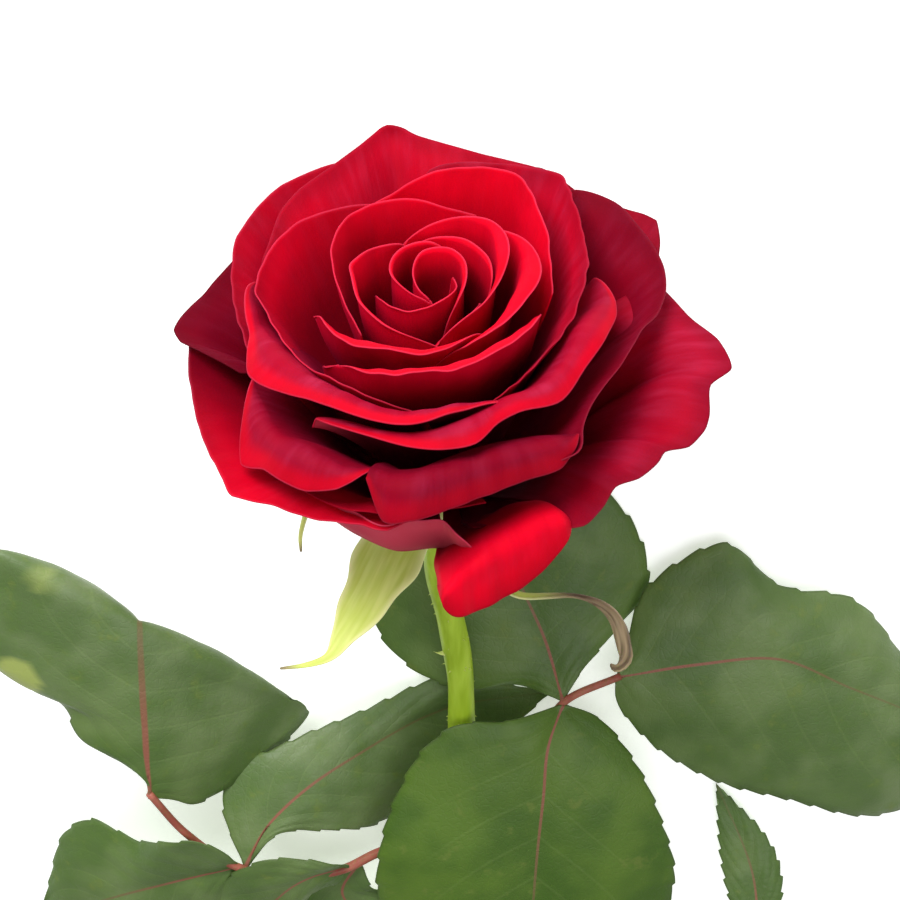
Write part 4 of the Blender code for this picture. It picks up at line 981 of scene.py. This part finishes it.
def make_bloom(material):
    """The petals in four pieces, from the heart outwards, and the small core that they stand on. The
    first six of the outer petals are the front ones."""
    groups = {
        "heart_petals": (HEART_PETALS, 0, HEART_COLUMNS),
        "middle_petals": (MIDDLE_PETALS, TUCK, PETAL_COLUMNS),
        "front_petals": (OUTER_PETALS[:6], 0, PETAL_COLUMNS),
        "guard_petals": (OUTER_PETALS[6:], 0, PETAL_COLUMNS),
    }
    number = 0
    for name, (petals, tuck, columns) in groups.items():
        shapes = []
        for petal in petals:
            shapes.append(petal_shape(petal, number, tuck, columns))
            number += 1
        if name == "heart_petals":
            # The core is painted a dull, dark red: painted shade deep inside the heart.
            shapes.append(turned(CORE_PROFILE, 30, rim=9.0, velvet=1.0))
        make_piece(name, shapes, material, "bloom")


# The calyx


def sepal_shape(sepal, number, rows=60, columns=17):
    """A pointed strip along the sepal's spine. Across each point of the spine lies an arc as wide as the
    spine says there, whose sides hang down by the sepal's cup. Low ridges, as a cosine, run along the
    strip's middle and its edges, and the edges waver a little."""
    middle = softened(smooth_line(bloom_to_world(from_polar(sepal.spine)[:, :3]), rows), 4)
    along = unit(np.gradient(middle, axis=0))
    axis = bloom_to_world([0, 0, 1]) - bloom_to_world([0, 0, 0])
    level = unit(np.cross(along, axis))
    upright = np.cross(level, along)
    roll = math.radians(sepal.roll)
    side = level * math.cos(roll) + upright * math.sin(roll)
    normal = upright * math.cos(roll) - level * math.sin(roll)
    share = np.linspace(0, 1, rows)
    half = smooth_line(from_polar(sepal.spine), rows)[:, 3] / 2
    half = np.maximum(half * (1 + 0.04 * waves(share * 50, 9, 40 + number)), 0.15)
    across = np.linspace(-1, 1, columns)[:, None]
    bend = across * sepal.cup * math.pi / 2
    wide = np.sin(bend) / (sepal.cup * math.pi / 2)
    deep = (1 - np.cos(bend)) / (sepal.cup * math.pi / 2)
    ridge = SEPAL_RIDGE * np.cos(2 * math.pi * across) * half / half.max()
    grid = middle + side * (wide * half)[..., None] - normal * (deep * half - ridge)[..., None]
    grid = above_table(grid, SEPAL_THICKNESS / 2)
    fields = {
        "along": distances(middle),
        "across": across * half + 20.0 * number,
        "margin": ramp(abs(across), 0.72, 1.0) * 0.8 * (1 - ramp(share, 0.7, 0.95)),
        "dry": ramp(share, sepal.dry, min(sepal.dry + 0.2, 1.0)),
    }
    thickness = SEPAL_THICKNESS * (0.45 + 0.35 * (1 - share)) * (1 - 0.3 * across**2)
    return blade(grid, thickness, middle.mean(axis=0) + 100 * (axis + [0, 0, 0.5]), fields)


def make_calyx(material):
    """The hip under the receptacle, with the sepals that grow from its rim."""
    shapes = [turned(HIP_PROFILE, 40)]
    shapes += [sepal_shape(sepal, number) for number, sepal in enumerate(SEPALS)]
    make_piece("calyx_and_sepals", shapes, material, "calyx")


# The stem


def stem_place(share):
    """The centre line's place and direction at a share of its length, and the radius there."""
    line = smooth_line(STEM_ROUTE, 1001)
    index = round(share * 1000)
    along = unit(np.gradient(line, axis=0)[index])
    return line[index], along, STEM_TOP_RADIUS + (STEM_END_RADIUS - STEM_TOP_RADIUS) * share


def horn(share, angle, sunk, length, width, hook, sides, **fields):
    """A prickle at a share of the stem's length and an angle from straight up, its root sunk this far
    into the stem. It is an oval section carried along a line that leaves the stem and hooks towards the
    cut end. At a share s of this line, the section shrinks to its width times (1 - s) to the power 1.4."""
    place, along, radius = stem_place(share)
    across = unit(np.cross(along, [0, 0, 1.0]))
    outward = across * math.sin(angle) + np.cross(across, along) * math.cos(angle)
    root = place + outward * (radius - sunk)
    s = np.linspace(0, 1, 12)
    line = root + outward * (s * length)[:, None] + along * (hook * length * s**2)[:, None]
    size = np.maximum((1 - s) ** 1.4 * width, 0.03 * width)
    return tube(line, np.column_stack([size * 0.5, size]), sides, **fields)


def make_stem(material):
    """The stem, whose radius wavers a little, its hooked prickles low down, and a side bud and short
    bristles on its neck."""
    rows = 420
    line = smooth_line(STEM_ROUTE, rows)
    length = distances(line)[-1]
    share = np.linspace(0, 1, rows)
    radii = np.linspace(STEM_TOP_RADIUS, STEM_END_RADIUS, rows) + 0.10 * waves(share * length, 30, 5)
    shapes = [tube(line, radii, 40, age=ramp(share, 0.12, 0.6))]
    tip = {"brown": ramp(np.linspace(0, 1, 12), 0.25, 0.9), "pale": 0.4, "age": 0.4}
    for number in range(int((length - FIRST_PRICKLE) / PRICKLE_SPACING)):
        at = (FIRST_PRICKLE + number * PRICKLE_SPACING) / length
        angle = PRICKLE_FAN * math.sin(number * GOLDEN_ANGLE)
        shapes.append(horn(at, angle, 0.9, PRICKLE_LENGTH, PRICKLE_WIDTH, 0.35, 14, **tip))
    draw = np.random.default_rng(21)
    for _ in range(BRISTLES):
        at = draw.uniform(0.0, NECK_SHARE)
        angle = draw.uniform(0, 2 * math.pi)
        bristle_length = 0.3 + draw.uniform(0.35, 0.8)
        shapes.append(horn(at, angle, 0.25, bristle_length, 0.45, 0.2, 8, pale=0.45))
    shapes.append(horn(BUD_SHARE, math.radians(75), 0.4, 2.4, 1.1, -0.5, 14, pale=1.0))
    make_piece("stem_with_prickles", shapes, material, "stem")


# The leaves


def leaflet_shape(leaflet, number, rows=133, half_columns=14):
    """A leaflet as a closed blade. It is lofted from its left edge over its midrib to its right edge. A
    saw line cuts its edges into forward-pointing teeth, its skin swells as a sine between the side veins,
    which climb from the midrib towards the edge, and the midrib lies in a bell-shaped fold."""
    rib = softened(smooth_line(leaflet.rib, rows), 3)
    base, tip = np.asarray(leaflet.rib[0], float), np.asarray(leaflet.rib[-1], float)
    forward = np.linspace(0, 1, rows)[:, None]
    teeth = max(12, int(np.linalg.norm(tip - base) / TOOTH_PITCH))
    tooth_height = TOOTH_HEIGHT * ramp(forward, 0.04, 0.15) * (1 - 0.5 * ramp(forward, 0.85, 1.0))
    sides = np.linspace(-1, 1, 2 * half_columns + 1)
    near = np.abs(sides)
    grid = []
    for side in sides:
        outline = leaflet.left if side < 0 else leaflet.right
        edge = softened(smooth_line([base, *outline, tip], rows), 3)
        reach = edge - rib
        width = np.maximum(np.linalg.norm(reach, axis=1, keepdims=True), 1e-6)
        saw = (forward * teeth + (0.5 if side < 0 else 0.0)) % 1.0
        cut = tooth_height * (1 - saw) * abs(side) ** 6
        grid.append(rib + reach * abs(side) * (1 - np.minimum(cut / width, 0.5)))
    grid = np.stack(grid, axis=1)
    normal = blade_normals(grid)
    normal *= np.sign(normal[..., 2].mean())
    wide = np.linalg.norm(grid[:, :1] - grid[:, -1:], axis=2) / 2
    phase = SIDE_VEINS * (forward - VEIN_CLIMB * near - VEIN_BEND * near**2)
    hollow = np.abs(((phase + 0.5) % 1.0) - 0.5) * 2
    swell = SWELL * np.sin(hollow * math.pi / 2) ** 0.8 * np.sin(near * math.pi) ** 0.6
    fold = -FOLD * np.exp(-((near * wide / FOLD_WIDTH) ** 2))
    arch = 0.05 * wide * np.sin(near * math.pi)
    arch = arch + waves(forward * 60 + 9 * sides, 22, 60 + number) * 0.5 * near**2
    push = (swell + arch) * ramp(wide, 1.0, 7.0) + fold * ramp(wide, 0.3, 2.0)
    grid = above_table(grid + normal * push[..., None], LEAF_CLEARANCE)
    across = distances(grid.swapaxes(0, 1)).T
    old = 0
    for place, size, yellow in YELLOWED:
        old = old + yellow * (1 - ramp(np.linalg.norm(grid - place, axis=2), size - 1.5, size))
    fields = {
        "phase": phase,
        "from_rib": near * wide,
        "share": near,
        "along": forward,
        "rim": np.minimum(across, across[:, -1:] - across),
        "rib_size": leaflet.rib_half * (1 - 0.5 * forward),
        "tone": np.linspace(*leaflet.greys, rows)[:, None],
        "old": old,
    }
    thickness = BLADE_THICKNESS + 0.5 * np.exp(-((near * wide) ** 2)) * (1 - 0.8 * forward)
    facing = grid.reshape(-1, 3).mean(axis=0) + [0, 0, 500]
    return blade(grid, np.minimum(thickness, RIB_THICKNESS), facing, fields)


def make_leaves(blade_finish, stalk_finish):
    """Each compound leaf as two pieces: its blades, and its stalk."""
    number = 0
    for name, leaf in LEAVES.items():
        shapes = []
        for leaflet in leaf.leaflets:
            shapes.append(leaflet_shape(leaflet, number))
            number += 1
        make_piece(name + "_blades", shapes, blade_finish, name)
        line = smooth_line(leaf.stalk, 60)
        radii = np.linspace(STALK_RADIUS, 0.7 * STALK_RADIUS, 60)
        make_piece(name + "_stalk", [tube(line, radii, 24)], stalk_finish, name)


# The stage


def aimed(place, target, upward):
    """The matrix of an object at a place in metres that looks at a target."""
    back = unit(np.subtract(place, target))
    right = unit(np.cross(upward, back))
    up = np.cross(back, right)
    return Matrix([*np.column_stack([right, up, back, place]).tolist(), [0, 0, 0, 1]])


def make_camera():
    """A long lens that looks down on the bloom from its face."""
    camera = bpy.data.objects.new("camera", bpy.data.cameras.new("camera"))
    bpy.context.scene.collection.objects.link(camera)
    camera.data.sensor_width = 36
    camera.data.lens = CAMERA_LENS
    camera.data.clip_start = 0.01
    climb = math.radians(CAMERA_CLIMB)
    back = np.array([0, math.cos(climb), math.sin(climb)])
    upward = np.array([0, math.sin(climb), -math.cos(climb)])
    target = (np.array(CAMERA_TARGET) + BOX_SHIFT) * MM
    camera.matrix_world = aimed(target + back * CAMERA_DISTANCE * MM, target, upward)
    bpy.context.scene.camera = camera


def soft_light(name, place, target, size, power):
    """A white square lamp of this side in metres that shines on a target."""
    data = bpy.data.lights.new(name, "AREA")
    data.shape = "SQUARE"
    data.size = size
    data.energy = power
    lamp = bpy.data.objects.new(name, data)
    bpy.context.scene.collection.objects.link(lamp)
    lamp.matrix_world = aimed(place, target, [0.01, 0.02, 1.0])


def make_stage():
    """The white table as a floor, a pale surrounding light, and large soft lamps above the bloom."""
    side = 6.0
    corners = [(-side, -side, 0), (side, -side, 0), (side, side, 0), (-side, side, 0)]
    mesh = bpy.data.meshes.new("floor")
    mesh.from_pydata(corners, [], [(0, 1, 2, 3)])
    mesh.materials.append(floor_material())
    floor = bpy.data.objects.new("floor", mesh)
    bpy.context.scene.collection.objects.link(floor)
    world = bpy.data.worlds.new("soft_room")
    bpy.context.scene.world = world
    world.use_nodes = True
    sky = world.node_tree.nodes["Background"]
    sky.inputs["Color"].default_value = hex_colour("#FFFFFF")
    sky.inputs["Strength"].default_value = 0.35
    bloom = np.array([0.0, 0.165, 0.05])
    soft_light("key_lamp", bloom + [-0.35, 1.0, 0.65], bloom, 0.6, 19.0)
    soft_light("fill_lamp", bloom + [0.3, 0.0, 1.2], bloom, 0.9, 7.0)


bpy.context.scene.view_settings.view_transform = "Standard"
make_bloom(petal_material())
make_calyx(sepal_material())
make_stem(stem_material())
make_leaves(leaf_material(), stalk_material())
make_camera()
make_stage()
